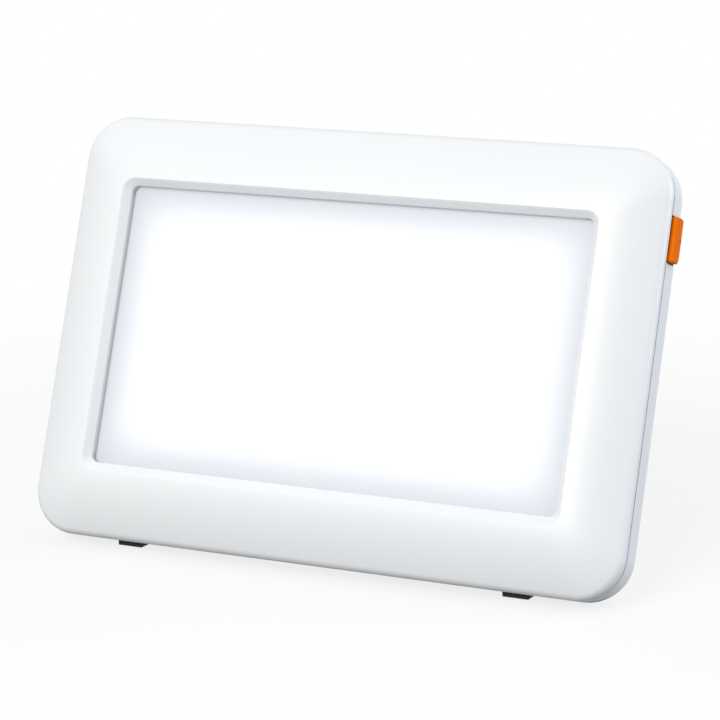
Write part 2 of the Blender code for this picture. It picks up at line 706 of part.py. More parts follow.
def envelope_mesh(name):
    """The cover's outer form as one solid, a hair smaller, to trim what is added inside it."""
    rings = [SIDE.inset(SEAT_GAP).ring(COVER_RIM)]
    for step in range(BACK_STEPS + 1):
        angle = RIGHT_ANGLE * step / BACK_STEPS
        outline = SIDE.inset(SEAT_GAP + BACK_ROUND * (1 - math.cos(angle)))
        rings.append(outline.ring(SIDE_END + (BACK_RISE - SEAT_GAP) * math.sin(angle)))
    return loft(name, rings, False)


def pocket_housing():
    """The walls round the stand's pocket and hinge well, trimmed to the cover's form."""
    half = POCKET_HALF + POCKET_WALL
    below = -BODY_HEIGHT
    walls = add(
        "pocket_housing",
        boxes(
            "pocket_housing",
            [((-half, POCKET_FLOOR - POCKET_WALL, below), (half, THROUGH, WELL_TOP + POCKET_WALL))],
        ),
        None,
        collection=CUTTERS,
    )
    well_low = HINGE_Z - WELL_BELOW - POCKET_WALL
    well_high = WELL_TOP + POCKET_WALL + SEAT_GAP
    well_half = half + SEAT_GAP
    well = boxes(
        "well_housing",
        [((-well_half, WELL_FLOOR - POCKET_WALL, well_low), (well_half, THROUGH, well_high))],
    )
    boolean(walls, well, "UNION")
    boolean(walls, envelope_mesh("cover_envelope"), "INTERSECT")
    return evaluated_mesh(walls, "pocket_walls")


def small_post_places():
    """Where the cover's posts hold the two circuit boards, as X and Z."""
    control = [
        (CONTROL_BOARD_X, CONTROL_BOARD_Z + s * CONTROL_SCREW_SPREAD / 2) for s in (-1, 1)
    ]
    switch = [
        (SWITCH_BOARD_X - SWITCH_SCREW_SHIFT, BUTTON_Z + s * SWITCH_SCREW_SPREAD / 2)
        for s in (-1, 1)
    ]
    return control, switch


def make_rear_cover():
    """The cover with its bosses and posts, the stand's pocket and every hole."""
    cover = add("rear_cover", loft("rear_cover", cover_rings(), False), WHITE_SHELL)
    boolean(cover, pocket_housing(), "UNION")
    root = BODY_DEPTH - WALL / 2
    case = [
        ((x, FRONT_BOSS_END + SEAT_GAP, z), (x, root, z)) for x, z in case_screw_places()
    ]
    boolean(cover, rods("cover_case_bosses", case, REAR_BOSS_RADIUS), "UNION")
    control, switch = small_post_places()
    posts = [
        ((x, BOARD_FACE + BOARD_THICKNESS + SEAT_GAP, z), (x, root, z))
        for x, z in control + switch
    ]
    boolean(cover, rods("cover_board_posts", posts, SMALL_BOSS_RADIUS), "UNION")
    post_x = PLATE.width / 2 - PRESS_POST_INSET_X
    post_z = PLATE.height / 2 - PRESS_POST_INSET_Z
    press = [
        ((sx * post_x, LED_PLATE_BACK + SEAT_GAP, sz * post_z), (sx * post_x, root, sz * post_z))
        for sx in (-1, 1)
        for sz in (-1, 1)
    ]
    boolean(cover, rods("cover_press_posts", press, PRESS_POST_RADIUS), "UNION")

    outside = BODY_DEPTH + CUT_OVERRUN
    pocket = boxes(
        "pocket_cut",
        [((-POCKET_HALF, POCKET_FLOOR, -BODY_HEIGHT), (POCKET_HALF, outside, WELL_TOP))],
    )
    boolean(cover, pocket, "DIFFERENCE")
    well_edge = HINGE_Z - WELL_BELOW
    well_half = POCKET_HALF - SEAT_GAP
    well_top = WELL_TOP - SEAT_GAP / 2
    well = boxes(
        "well_cut",
        [((-well_half, WELL_FLOOR, well_edge), (well_half, outside + SEAT_GAP, well_top))],
    )
    boolean(cover, well, "DIFFERENCE")
    heads = [((x, SCREW_SEAT, z), (x, outside, z)) for x, z in case_screw_places()]
    head_radius = CASE_HEAD_RADIUS + SEAT_GAP
    boolean(cover, rods("head_holes", heads, head_radius, SCREW_SIDES), "DIFFERENCE")
    shanks = [((x, 0, z), (x, outside, z)) for x, z in case_screw_places()]
    shank_radius = CASE_SCREW_RADIUS + SEAT_GAP
    boolean(cover, rods("shank_holes", shanks, shank_radius, SCREW_SIDES), "DIFFERENCE")
    pilots = [
        ((x, BOARD_FACE, z), (x, BOARD_FACE + SMALL_SCREW_LENGTH, z)) for x, z in control + switch
    ]
    pilot_radius = SMALL_SCREW_RADIUS + SEAT_GAP
    boolean(cover, rods("post_pilots", pilots, pilot_radius, SCREW_SIDES), "DIFFERENCE")
    axle_half = POCKET_HALF + POCKET_WALL + CUT_OVERRUN
    axle = [((-axle_half, HINGE_Y, HINGE_Z), (axle_half, HINGE_Y, HINGE_Z))]
    boolean(cover, rods("axle_holes", axle, AXLE_RADIUS + RUNNING_GAP), "DIFFERENCE")
    notch_half = BUTTON_LENGTH / 2 + BUTTON_GAP
    notch_end = BUTTON_Y + BUTTON_DEPTH / 2 + BUTTON_GAP
    notch = boxes(
        "button_notch",
        [
            (
                (BUTTON_FLANGE_X - CUT_OVERRUN, 0, BUTTON_Z - notch_half),
                (BODY_WIDTH / 2 + CUT_OVERRUN, notch_end, BUTTON_Z + notch_half),
            )
        ],
    )
    boolean(cover, notch, "DIFFERENCE")
    socket = [
        (
            (-BODY_WIDTH / 2 - CUT_OVERRUN, SOCKET_Y, SOCKET_Z),
            (-BODY_WIDTH / 2 + SOCKET_SETBACK + CUT_OVERRUN, SOCKET_Y, SOCKET_Z),
        )
    ]
    boolean(cover, rods("socket_hole", socket, SOCKET_NOSE_RADIUS + BUTTON_GAP), "DIFFERENCE")
    stems, recesses = [], []
    half_foot = FOOT_LENGTH / 2 + SEAT_GAP
    for middle in (FOOT_LEFT_X, FOOT_RIGHT_X):
        stems.append(((middle, FOOT_STEM_Y, -BODY_HEIGHT), (middle, FOOT_STEM_Y, stem_hole_top())))
        low = (middle - half_foot, FOOT_START - SEAT_GAP, -BODY_HEIGHT)
        high = (middle + half_foot, FOOT_END + SEAT_GAP, FOOT_TOP + SEAT_GAP)
        recesses.append((low, high))
    boolean(cover, boxes("foot_recesses", recesses), "DIFFERENCE")
    stem_radius = FOOT_STEM_RADIUS + SEAT_GAP
    boolean(cover, rods("stem_holes", stems, stem_radius, SCREW_SIDES), "DIFFERENCE")


def stem_hole_top():
    """Just inside the cover's bottom wall."""
    return -SIDE.height / 2 + WALL + CUT_OVERRUN


def make_feet():
    """Two rubber feet, cut level with the table, each held by a barbed stem."""
    for side, middle in (("left", FOOT_LEFT_X), ("right", FOOT_RIGHT_X)):
        builder = bmesh.new()
        corners = box_into(
            builder,
            (middle - FOOT_LENGTH / 2, FOOT_START, FOOT_BOTTOM),
            (middle + FOOT_LENGTH / 2, FOOT_END, FOOT_TOP),
        )
        for corner in corners:
            if corner.co.z < (FOOT_BOTTOM + FOOT_TOP) / 2:
                corner.co.x -= math.copysign(FOOT_TAPER, corner.co.x - middle)
        level = Vector((0, math.sin(LEAN_ANGLE), -math.cos(LEAN_ANGLE)))
        everything = builder.verts[:] + builder.edges[:] + builder.faces[:]
        cut = bmesh.ops.bisect_plane(
            builder,
            geom=everything,
            plane_co=(0, FOOT_START, FOOT_BOTTOM),
            plane_no=level,
            clear_outer=True,
        )
        rim = [item for item in cut["geom_cut"] if isinstance(item, bmesh.types.BMEdge)]
        bmesh.ops.contextual_create(builder, geom=rim)
        foot = add(f"foot_{side}", mesh_from(builder, f"foot_{side}"), RUBBER)
        barb_low = -SIDE.height / 2 + WALL + FOOT_BARB_GAP
        barb_high = barb_low + FOOT_BARB_HEIGHT
        inside_foot = FOOT_TOP - FOOT_RECESS
        stem = rods(
            f"foot_{side}_stem",
            [((middle, FOOT_STEM_Y, inside_foot), (middle, FOOT_STEM_Y, (barb_low + barb_high) / 2))],
            FOOT_STEM_RADIUS,
            SCREW_SIDES,
        )
        boolean(foot, stem, "UNION")
        builder = bmesh.new()
        rod_into(
            builder,
            (middle, FOOT_STEM_Y, barb_low),
            (middle, FOOT_STEM_Y, barb_high),
            FOOT_BARB_RADIUS,
            SCREW_SIDES,
            FOOT_STEM_RADIUS,
        )
        boolean(foot, mesh_from(builder, f"foot_{side}_barb"), "UNION")


def make_stand():
    """The fold-out leg on its steel axle, with a rubber pad that lies level on the table."""
    hinge = bpy.data.objects.new("stand_hinge", None)
    PARTS.objects.link(hinge)
    hinge.parent = LEAN
    hinge.location = (0, HINGE_Y, HINGE_Z)
    hinge.rotation_euler = (STAND_ANGLE, 0, 0)
    half_width, half_wall = STAND_WIDTH / 2, STAND_THICKNESS / 2
    plate = boxes(
        "kickstand", [((-half_width, -half_wall, -LEG_END), (half_width, half_wall, HEEL_LENGTH))]
    )
    stand = add("kickstand", plate, WHITE_SHELL, hinge)
    bevelled(stand, STAND_EDGE_ROUND)
    barrel_half = half_width - STAND_EDGE_ROUND - SEAT_GAP
    barrel = rods("barrel", [((-barrel_half, 0, 0), (barrel_half, 0, 0))], BARREL_RADIUS)
    boolean(stand, barrel, "UNION", hinge)
    bore = rods("barrel_bore", [((-THROUGH, 0, 0), (THROUGH, 0, 0))], AXLE_RADIUS + RUNNING_GAP)
    boolean(stand, bore, "DIFFERENCE", hinge)
    panel_half = half_width - STAND_PANEL_MARGIN
    panel_low = -LEG_END + PAD_TONGUE_HEIGHT + STAND_PANEL_MARGIN
    panel = boxes(
        "stand_panel",
        [
            (
                (-panel_half, half_wall - STAND_PANEL_DEPTH, panel_low),
                (panel_half, half_wall + CUT_OVERRUN, -BARREL_RADIUS - STAND_PANEL_MARGIN),
            )
        ],
    )
    boolean(stand, panel, "DIFFERENCE", hinge)
    tongue_half = half_width - STAND_PAD_INSET
    groove_half_wall = PAD_TONGUE_WALL / 2 + SEAT_GAP
    groove = boxes(
        "pad_groove",
        [
            (
                (-tongue_half - SEAT_GAP, -groove_half_wall, -LEG_END - CUT_OVERRUN),
                (
                    tongue_half + SEAT_GAP,
                    groove_half_wall,
                    -LEG_END + PAD_TONGUE_HEIGHT,
                ),
            )
        ],
    )
    boolean(stand, groove, "DIFFERENCE", hinge)

    pad_top = -LEG_END - SEAT_GAP
    section = [
        (-half_wall, -table_reach(-half_wall)),
        (half_wall, -table_reach(half_wall)),
        (half_wall, pad_top),
        (PAD_TONGUE_WALL / 2, pad_top),
        (PAD_TONGUE_WALL / 2, pad_top + PAD_TONGUE_HEIGHT),
        (-PAD_TONGUE_WALL / 2, pad_top + PAD_TONGUE_HEIGHT),
        (-PAD_TONGUE_WALL / 2, pad_top),
        (-half_wall, pad_top),
    ]
    builder = bmesh.new()
    face = builder.faces.new([builder.verts.new((-tongue_half, y, z)) for y, z in section])
    grown = bmesh.ops.extrude_face_region(builder, geom=[face])["geom"]
    moved = [item for item in grown if isinstance(item, bmesh.types.BMVert)]
    bmesh.ops.translate(builder, verts=moved, vec=(2 * tongue_half, 0, 0))
    add("kickstand_pad", mesh_from(builder, "kickstand_pad"), RUBBER, hinge)

    axle_half = POCKET_HALF + POCKET_WALL + AXLE_OVERHANG
    ends = [((-axle_half, HINGE_Y, HINGE_Z), (axle_half, HINGE_Y, HINGE_Z))]
    add("kickstand_axle", rods("kickstand_axle", ends, AXLE_RADIUS), STEEL)


def button_ring(x, inset):
    """The button's rounded outline at one X, with its own radius at each corner."""
    half_depth, half_length = BUTTON_DEPTH / 2 - inset, BUTTON_LENGTH / 2 - inset
    points = []
    for corner, full_radius in enumerate(BUTTON_CORNERS):
        radius = max(full_radius - inset, BUTTON_EDGE / 2)
        back = 1 if corner in (0, 3) else -1
        up = 1 if corner in (0, 1) else -1
        for step in range(BUTTON_CORNER_STEPS + 1):
            angle = (corner + step / BUTTON_CORNER_STEPS) * RIGHT_ANGLE
            y = back * (half_depth - radius) + radius * math.cos(angle)
            z = up * (half_length - radius) + radius * math.sin(angle)
            points.append((x, y, z))
    return points


def button_cap():
    """The visible cap: a rounded bar whose outer face falls away from a ridge."""
    outer = BODY_WIDTH / 2 - COVER_INSET + BUTTON_PROUD
    rings = [
        button_ring(BUTTON_FLANGE_X - WELD_OVERLAP, 0),
        button_ring(outer - BUTTON_EDGE - BUTTON_FRONT_FALL, 0),
        button_ring(outer, BUTTON_EDGE),
    ]
    builder = bmesh.new()
    builder.from_mesh(loft("power_button", rings, False))
    ridge = BUTTON_RIDGE - BUTTON_DEPTH / 2
    everything = builder.verts[:] + builder.edges[:] + builder.faces[:]
    bmesh.ops.bisect_plane(builder, geom=everything, plane_co=(0, ridge, 0), plane_no=(0, 1, 0))
    for vertex in builder.verts:
        if vertex.co.x > outer - BUTTON_EDGE / 2:
            across = vertex.co.y - ridge
            if across > 0:
                vertex.co.x -= BUTTON_REAR_FALL * across / (BUTTON_DEPTH - BUTTON_RIDGE)
            else:
                vertex.co.x += BUTTON_FRONT_FALL * across / BUTTON_RIDGE
    return mesh_from(builder, "power_button", math.radians(30))


def make_button_and_switch():
    """The orange button, and the push switch on its own small board."""
    slide = bpy.data.objects.new("button_slide", None)
    PARTS.objects.link(slide)
    slide.parent = LEAN
    slide.location = (0, BUTTON_Y, BUTTON_Z)
    half_depth, half_length = BUTTON_DEPTH / 2, BUTTON_LENGTH / 2
    button = add("power_button", button_cap(), ORANGE, slide)
    flange_front = COVER_RIM + TONGUE_ROOT + TONGUE_SLOPE + SEAT_GAP - BUTTON_Y
    flange_low = BUTTON_FLANGE_X - BUTTON_FLANGE_WALL
    flange = boxes(
        "button_flange",
        [
            (
                (flange_low, flange_front, -half_length - BUTTON_FLANGE),
                (BUTTON_FLANGE_X, half_depth + BUTTON_FLANGE, half_length + BUTTON_FLANGE),
            )
        ],
    )
    boolean(button, flange, "UNION", slide)
    plunger_end = PLUNGER_END_X
    boss = [((plunger_end + SEAT_GAP, 0, 0), (BUTTON_FLANGE_X - WELD_OVERLAP, 0, 0))]
    boolean(button, rods("button_boss", boss, BUTTON_BOSS_RADIUS, SCREW_SIDES), "UNION", slide)

    cover_front = plunger_end - PLUNGER_PROUD
    body_front = cover_front - SWITCH_COVER_WALL - SEAT_GAP
    body_back = body_front - SWITCH_BODY_LENGTH
    half_switch = SWITCH_WIDTH / 2
    switch_low = BUTTON_Y - SWITCH_HEIGHT / 2
    switch_high = BOARD_FACE - SEAT_GAP
    bore_radius = PLUNGER_RADIUS + SEAT_GAP
    pressed_end = plunger_end - PLUNGER_LENGTH - BUTTON_PROUD
    body = add(
        "switch_body",
        boxes(
            "switch_body",
            [
                (
                    (body_back, switch_low, BUTTON_Z - half_switch),
                    (body_front, switch_high, BUTTON_Z + half_switch),
                )
            ],
        ),
        BLACK_PLASTIC,
    )
    bore = [((pressed_end, BUTTON_Y, BUTTON_Z), (plunger_end, BUTTON_Y, BUTTON_Z))]
    boolean(body, rods("switch_bore", bore, bore_radius, SCREW_SIDES), "DIFFERENCE")
    cover = add(
        "switch_cover",
        boxes(
            "switch_cover",
            [
                (
                    (cover_front - SWITCH_COVER_WALL, switch_low, BUTTON_Z - half_switch),
                    (cover_front, switch_high, BUTTON_Z + half_switch),
                )
            ],
        ),
        STEEL,
    )
    boolean(cover, rods("cover_bore", bore, bore_radius, SCREW_SIDES), "DIFFERENCE")
    plunger = [((plunger_end - PLUNGER_LENGTH, 0, 0), (plunger_end, 0, 0))]
    add(
        "switch_plunger",
        rods("switch_plunger", plunger, PLUNGER_RADIUS, SCREW_SIDES),
        BLACK_PLASTIC,
        slide,
    )
    board(
        "switch_board",
        (SWITCH_BOARD_X, BUTTON_Z),
        (SWITCH_BOARD_WIDTH, SWITCH_BOARD_LENGTH),
        small_post_places()[1],
    )


def board(name, middle, size, screw_places):
    """A circuit board parallel to the back, with screw holes."""
    low = (middle[0] - size[0] / 2, BOARD_FACE, middle[1] - size[1] / 2)
    high = (middle[0] + size[0] / 2, BOARD_FACE + BOARD_THICKNESS, middle[1] + size[1] / 2)
    made = add(name, boxes(name, [(low, high)]), BOARD_GREEN)
    holes = [
        ((x, BOARD_FACE - CUT_OVERRUN, z), (x, BOARD_FACE + CUT_OVERRUN, z))
        for x, z in screw_places
    ]
    radius = SMALL_SCREW_RADIUS + SEAT_GAP
    boolean(made, rods(f"{name}_holes", holes, radius, SCREW_SIDES), "DIFFERENCE")


def on_board(name, x, z, size, material, bevel=None):
    """A boxy component standing on the front of a circuit board."""
    top = BOARD_FACE - SEAT_GAP / 2
    low = (x - size[0] / 2, top - size[1], z - size[2] / 2)
    high = (x + size[0] / 2, top, z + size[2] / 2)
    made = add(name, boxes(name, [(low, high)]), material)
    if bevel:
        bevelled(made, bevel, 1)
    return made


def make_electronics():
    """The control board with its parts and power socket, and the wires that leave it."""
    board(
        "control_board",
        (CONTROL_BOARD_X, CONTROL_BOARD_Z),
        (CONTROL_BOARD_WIDTH, CONTROL_BOARD_LENGTH),
        small_post_places()[0],
    )
    on_board("driver_chip", CONTROL_BOARD_X, CHIP_Z, CHIP_SIZE, BLACK_PLASTIC)
    on_board("power_inductor", CONTROL_BOARD_X, INDUCTOR_Z, INDUCTOR_SIZE, BLACK_PLASTIC, SEAT_GAP)
    can_top = BOARD_FACE - SEAT_GAP / 2
    can = [
        (
            (CONTROL_BOARD_X, can_top - CAPACITOR_HEIGHT, CAPACITOR_Z),
            (CONTROL_BOARD_X, can_top, CAPACITOR_Z),
        )
    ]
    add("filter_capacitor", rods("filter_capacitor", can, CAPACITOR_RADIUS), BLACK_PLASTIC)
    header_x = CONTROL_BOARD_X + HEADER_SHIFT
    on_board("led_header", header_x, LED_HEADER_Z, HEADER_SIZE, CONNECTOR_CREAM)
    on_board("switch_header", header_x, SWITCH_HEADER_Z, HEADER_SIZE, CONNECTOR_CREAM)

    socket_front = -BODY_WIDTH / 2 + COVER_INSET + SOCKET_RECESS
    body_front = -BODY_WIDTH / 2 + SOCKET_SETBACK
    body_back = body_front + SOCKET_LENGTH
    half = SOCKET_WIDTH / 2
    socket = add(
        "power_socket",
        boxes(
            "power_socket",
            [
                (
                    (body_front, SOCKET_Y - SOCKET_HEIGHT / 2, SOCKET_Z - half),
                    (body_back, SOCKET_Y + SOCKET_HEIGHT / 2, SOCKET_Z + half),
                )
            ],
        ),
        BLACK_PLASTIC,
    )
    nose = [((socket_front, SOCKET_Y, SOCKET_Z), (body_front + WELD_OVERLAP, SOCKET_Y, SOCKET_Z))]
    boolean(socket, rods("socket_nose", nose, SOCKET_NOSE_RADIUS), "UNION")
    bore_end = socket_front + SOCKET_BORE_DEPTH
    bore = [
        ((socket_front - CUT_OVERRUN, SOCKET_Y, SOCKET_Z), (bore_end, SOCKET_Y, SOCKET_Z))
    ]
    boolean(socket, rods("socket_bore", bore, SOCKET_BORE_RADIUS), "DIFFERENCE")
    pin_end = bore_end - SEAT_GAP
    pin = [((pin_end - SOCKET_PIN_LENGTH, SOCKET_Y, SOCKET_Z), (pin_end, SOCKET_Y, SOCKET_Z))]
    add("socket_pin", rods("socket_pin", pin, SOCKET_PIN_RADIUS, SCREW_SIDES), STEEL)

    plug_front = LED_PLATE_BACK + SEAT_GAP / 2
    plug_low = (LED_PLUG_X - LED_PLUG_SIZE[0] / 2, plug_front, LED_HEADER_Z - LED_PLUG_SIZE[2] / 2)
    plug_high = (
        LED_PLUG_X + LED_PLUG_SIZE[0] / 2,
        plug_front + LED_PLUG_SIZE[1],
        LED_HEADER_Z + LED_PLUG_SIZE[2] / 2,
    )
    add("led_board_plug", boxes("led_board_plug", [(plug_low, plug_high)]), CONNECTOR_CREAM)
    header_end = header_x + HEADER_SIZE[0] / 2 + SEAT_GAP
    wire_y = BOARD_FACE - HEADER_SIZE[1] / 2
    plug_wire_y = plug_front + LED_PLUG_SIZE[1] / 2
    plug_end = plug_low[0] - SEAT_GAP
    middle_x = (header_end + plug_end) / 2
    wire_pair(
        "led_wire",
        [
            (header_end, wire_y, LED_HEADER_Z),
            (header_end + WIRE_SPACING, wire_y, LED_HEADER_Z),
            (middle_x, (wire_y + plug_wire_y) / 2 + WIRE_SAG, LED_HEADER_Z),
            (plug_end - WIRE_SPACING, plug_wire_y, LED_HEADER_Z),
            (plug_end, plug_wire_y, LED_HEADER_Z),
        ],
        (BLACK_PLASTIC, WIRE_RED),
    )

    plug_x = SWITCH_BOARD_X - HEADER_SHIFT
    on_board("switch_plug", plug_x, BUTTON_Z, HEADER_SIZE, CONNECTOR_CREAM)
    switch_end = plug_x - HEADER_SIZE[0] / 2 - SEAT_GAP
    lane = (LED_PLATE_BACK + BOARD_FACE) / 2
    wire_pair(
        "switch_wire",
        [
            (header_end, wire_y, SWITCH_HEADER_Z),
            (header_end + 2 * WIRE_SPACING, wire_y, SWITCH_HEADER_Z),
            (LED_PLUG_X, lane, (SWITCH_HEADER_Z + WELL_TOP) / 2),
            (-POCKET_HALF, lane, WELL_TOP + SOCKET_WIDTH),
            (0, lane, WELL_TOP + 2 * SOCKET_WIDTH),
            (POCKET_HALF, lane, WELL_TOP + 2 * SOCKET_WIDTH),
            (-LED_PLUG_X, lane, BUTTON_Z),
            (switch_end - 2 * WIRE_SPACING, wire_y, BUTTON_Z),
            (switch_end, wire_y, BUTTON_Z),
        ],
        (BLACK_PLASTIC, BLACK_PLASTIC),
    )


def smooth_route(points, steps=4):
    """A Catmull-Rom curve through hand-chosen points."""
    points = [Vector(p) for p in points]
    padded = [2 * points[0] - points[1], *points, 2 * points[-1] - points[-2]]
    route = []
    for a, b, c, d in zip(padded, padded[1:], padded[2:], padded[3:]):
        for step in range(steps):
            t = step / steps
            route.append(
                (2 * b + (c - a) * t + (2 * a - 5 * b + 4 * c - d) * t**2
                 + (3 * b - a - 3 * c + d) * t**3) / 2
            )
    return [*route, points[-1]]


def wire_pair(name, route, materials):
    """Two wires side by side along one route."""
    route = smooth_route(route)
    for sign, material in zip((-1, 1), materials):
        end = "lower" if sign < 0 else "upper"
        curve = bpy.data.curves.new(f"{name}_{end}", "CURVE")
        curve.dimensions = "3D"
        curve.bevel_depth = WIRE_RADIUS
        curve.bevel_resolution = 1
        curve.use_fill_caps = True
        spline = curve.splines.new("POLY")
        spline.points.add(len(route) - 1)
        for index, point in enumerate(route):
            spline.points[index].co = (point.x, point.y, point.z + sign * WIRE_SPACING / 2, 1)
        curve.materials.append(material)
        made = bpy.data.objects.new(curve.name, curve)
        PARTS.objects.link(made)
        made.parent = LEAN


def screw_mesh(name, radius, length, head_radius, head_height):
    """A cross-head screw along +Y, with the underside of its head at the origin."""
    builder = bmesh.new()
    head_top = -head_height
    outer_rim = head_top + head_height * HEAD_RIM_SHARE
    crown_radius = head_radius * HEAD_CROWN_SHARE
    profile = [
        (0, length),
        (radius * TIP_SHARE, length),
        (radius, length - radius),
        (radius, 0),
        (head_radius, 0),
        (head_radius, outer_rim),
        (crown_radius, head_top),
        (0, head_top),
    ]
    previous = None
    for across, along in profile:
        vertex = builder.verts.new((across, along, 0))
        if previous:
            builder.edges.new((previous, vertex))
        previous = vertex
    bmesh.ops.spin(
        builder,
        geom=builder.verts[:] + builder.edges[:],
        cent=(0, 0, 0),
        axis=(0, 1, 0),
        angle=2 * math.pi,
        steps=SCREW_SIDES,
        use_merge=True,
    )
    bmesh.ops.remove_doubles(builder, verts=builder.verts, dist=WELD_DISTANCE)
    tool = add(name, mesh_from(builder, name), None, None, CUTTERS)
    reach = head_radius * CROSS_REACH_SHARE
    half = head_radius * CROSS_WIDTH_SHARE / 2
    depth = head_top + head_height * CROSS_DEPTH_SHARE
    above = head_top - head_height
    across = boxes(f"{name}_slot_a", [((-reach, above, -half), (reach, depth, half))])
    upright = boxes(f"{name}_slot_b", [((-half, above, -reach), (half, depth, reach))])
    boolean(tool, across, "DIFFERENCE", None)
    boolean(tool, upright, "DIFFERENCE", None)
    return evaluated_mesh(tool, name)


def screws(name, mesh, seat, places, facing):
    """One object for each screw: heads face the back where facing is 1, the front at -1."""
    for number, (x, z) in enumerate(places, 1):
        made = add(f"{name}_{number}", mesh, STEEL)
        made.location = (x, seat, z)
        made.rotation_euler = (math.pi if facing > 0 else 0, 0, 0)


def make_screws():
    """The case screws, driven from the back, and the small ones inside."""
    case = screw_mesh(
        "case_screw", CASE_SCREW_RADIUS, CASE_SCREW_LENGTH, CASE_HEAD_RADIUS, CASE_HEAD_HEIGHT
    )
    small = screw_mesh(
        "small_screw", SMALL_SCREW_RADIUS, SMALL_SCREW_LENGTH, SMALL_HEAD_RADIUS, SMALL_HEAD_HEIGHT
    )
    screws("case_screw", case, SCREW_SEAT + SEAT_GAP, case_screw_places(), 1)
    screws("tray_screw", small, TRAY_FRONT + TRAY_WALL + SEAT_GAP, tray_ear_places(), 1)
    control, switch = small_post_places()
    screws("control_board_screw", small, BOARD_FACE - SEAT_GAP, control, -1)
    screws("switch_board_screw", small, BOARD_FACE - SEAT_GAP, switch, -1)


def set_on_table():
    """Tips the lamp back and puts the middle of its footprint at the origin."""
    LEAN.rotation_euler = (-LEAN_ANGLE, 0, 0)
    bpy.context.view_layer.update()
    graph = bpy.context.evaluated_depsgraph_get()
    corners = []
    for piece in PARTS.objects:
        if piece.type in ("MESH", "CURVE"):
            shown = piece.evaluated_get(graph)
            mesh = shown.to_mesh()
            corners += [piece.matrix_world @ vertex.co for vertex in mesh.vertices]
            shown.to_mesh_clear()
    low = [min(corner[axis] for corner in corners) for axis in range(3)]
    high = [max(corner[axis] for corner in corners) for axis in range(3)]
    LEAN.location = (-(low[0] + high[0]) / 2, -(low[1] + high[1]) / 2, -low[2])


make_front_frame()
make_light_box()
make_rear_cover()
make_feet()
make_stand()
make_button_and_switch()
make_electronics()
make_screws()
set_on_table()
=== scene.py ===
"""The light therapy lamp, dressed: fine shells, finishes, soft light and a pale floor.

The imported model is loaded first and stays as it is. The pieces that show are built again
here with finer faces, each in the place of the solid that it stands for. They are made
upright, in the lamp's own frame: X to the right, Y from the front to the back, Z up, and
the centre of the front at the origin. The last step leans them back onto the table.
"""

import logging
import math
from dataclasses import dataclass
from enum import Enum
from typing import Iterable, Sequence

import bmesh
import bpy
from mathutils import Matrix, Vector


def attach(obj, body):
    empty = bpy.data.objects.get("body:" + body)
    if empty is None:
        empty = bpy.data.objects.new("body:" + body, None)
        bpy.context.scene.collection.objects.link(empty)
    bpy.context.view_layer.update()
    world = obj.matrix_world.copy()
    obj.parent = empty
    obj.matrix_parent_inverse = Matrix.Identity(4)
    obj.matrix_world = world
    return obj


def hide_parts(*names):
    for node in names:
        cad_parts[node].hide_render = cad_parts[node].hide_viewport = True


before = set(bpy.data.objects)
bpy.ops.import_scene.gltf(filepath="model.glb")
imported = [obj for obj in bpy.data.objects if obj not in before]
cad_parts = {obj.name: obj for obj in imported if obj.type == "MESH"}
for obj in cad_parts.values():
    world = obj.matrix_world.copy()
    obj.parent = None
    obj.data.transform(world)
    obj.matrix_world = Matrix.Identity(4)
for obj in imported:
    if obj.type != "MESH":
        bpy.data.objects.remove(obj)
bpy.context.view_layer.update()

LOG = logging.getLogger("light_therapy_lamp")

MM = 0.001
RIGHT_ANGLE = math.pi / 2
SEAT_GAP = 0.3 * MM
RUNNING_GAP = 0.1 * MM
OVERRUN = 4 * MM
WELD = 0.8 * MM
MERGE_REACH = 0.01 * MM
LEAN_ANGLE = math.radians(20)
LEAN_PLACE = Vector((-1.2 * MM, -19.9624 * MM, 89.6619 * MM))
LEAN = Matrix.Translation(LEAN_PLACE) @ Matrix.Rotation(-LEAN_ANGLE, 4, "X")

Point = tuple[float, float, float]
Span = tuple[Point, Point]


class Body(Enum):
    """The moving bodies of the lamp."""

    LAMP = "lamp_body"
    STAND = "stand_arm"
    BUTTON = "button"


class Slot(Enum):
    """The names of the finishes."""

    SHELL = "white_shell"
    OPAL = "opal_diffuser"
    ORANGE = "orange_button"
    RUBBER = "black_rubber"
    TRAY = "white_tray"
    FOAM = "grey_foam"
    ALUMINIUM = "aluminium_plate"
    LED_BOARD = "white_board"
    CIRCUIT_BOARD = "green_board"
    CONNECTOR = "connector_cream"
    RED_WIRE = "wire_red"
    BLACK_PLASTIC = "black_plastic"
    STEEL = "steel"


class Join(Enum):
    """How one form meets another."""

    ADD = "UNION"
    CUT = "DIFFERENCE"
    KEEP_COMMON = "INTERSECT"


# ---------------------------------------------------------------- finishes


def linear(hex_colour: str) -> tuple[float, float, float, float]:
    """Turns an sRGB colour into the linear values that a shader takes.

    Args:
        hex_colour: Six hex digits, such as "F0F1F4".

    Returns:
        Linear red, green, blue, and an alpha of one.
    """
    values = []
    for start in (0, 2, 4):
        share = int(hex_colour[start : start + 2], 16) / 255
        values.append(share / 12.92 if share <= 0.04045 else ((share + 0.055) / 1.055) ** 2.4)
    return (values[0], values[1], values[2], 1.0)


def per_metre(millimetres: float) -> float:
    """The noise scale whose features are this many millimetres across."""
    return 1000 / millimetres


def add_node(
    tree: bpy.types.NodeTree, kind: str, settings: dict | None = None, links: dict | None = None
) -> bpy.types.Node:
    """Adds a node with its settings and links.

    Args:
        tree: The node tree that takes it.
        kind: Blender's type name for the node, without the ShaderNode at its start.
        settings: Values by the name or number of an input, or by the name of a property.
        links: Output sockets by the name or number of the input that they feed.

    Returns:
        The new node.
    """
    node = tree.nodes.new(f"ShaderNode{kind}")
    for name, value in (settings or {}).items():
        if isinstance(name, int) or name in node.inputs:
            node.inputs[name].default_value = value
        else:
            setattr(node, name, value)
    for name, source in (links or {}).items():
        tree.links.new(source, node.inputs[name])
    return node


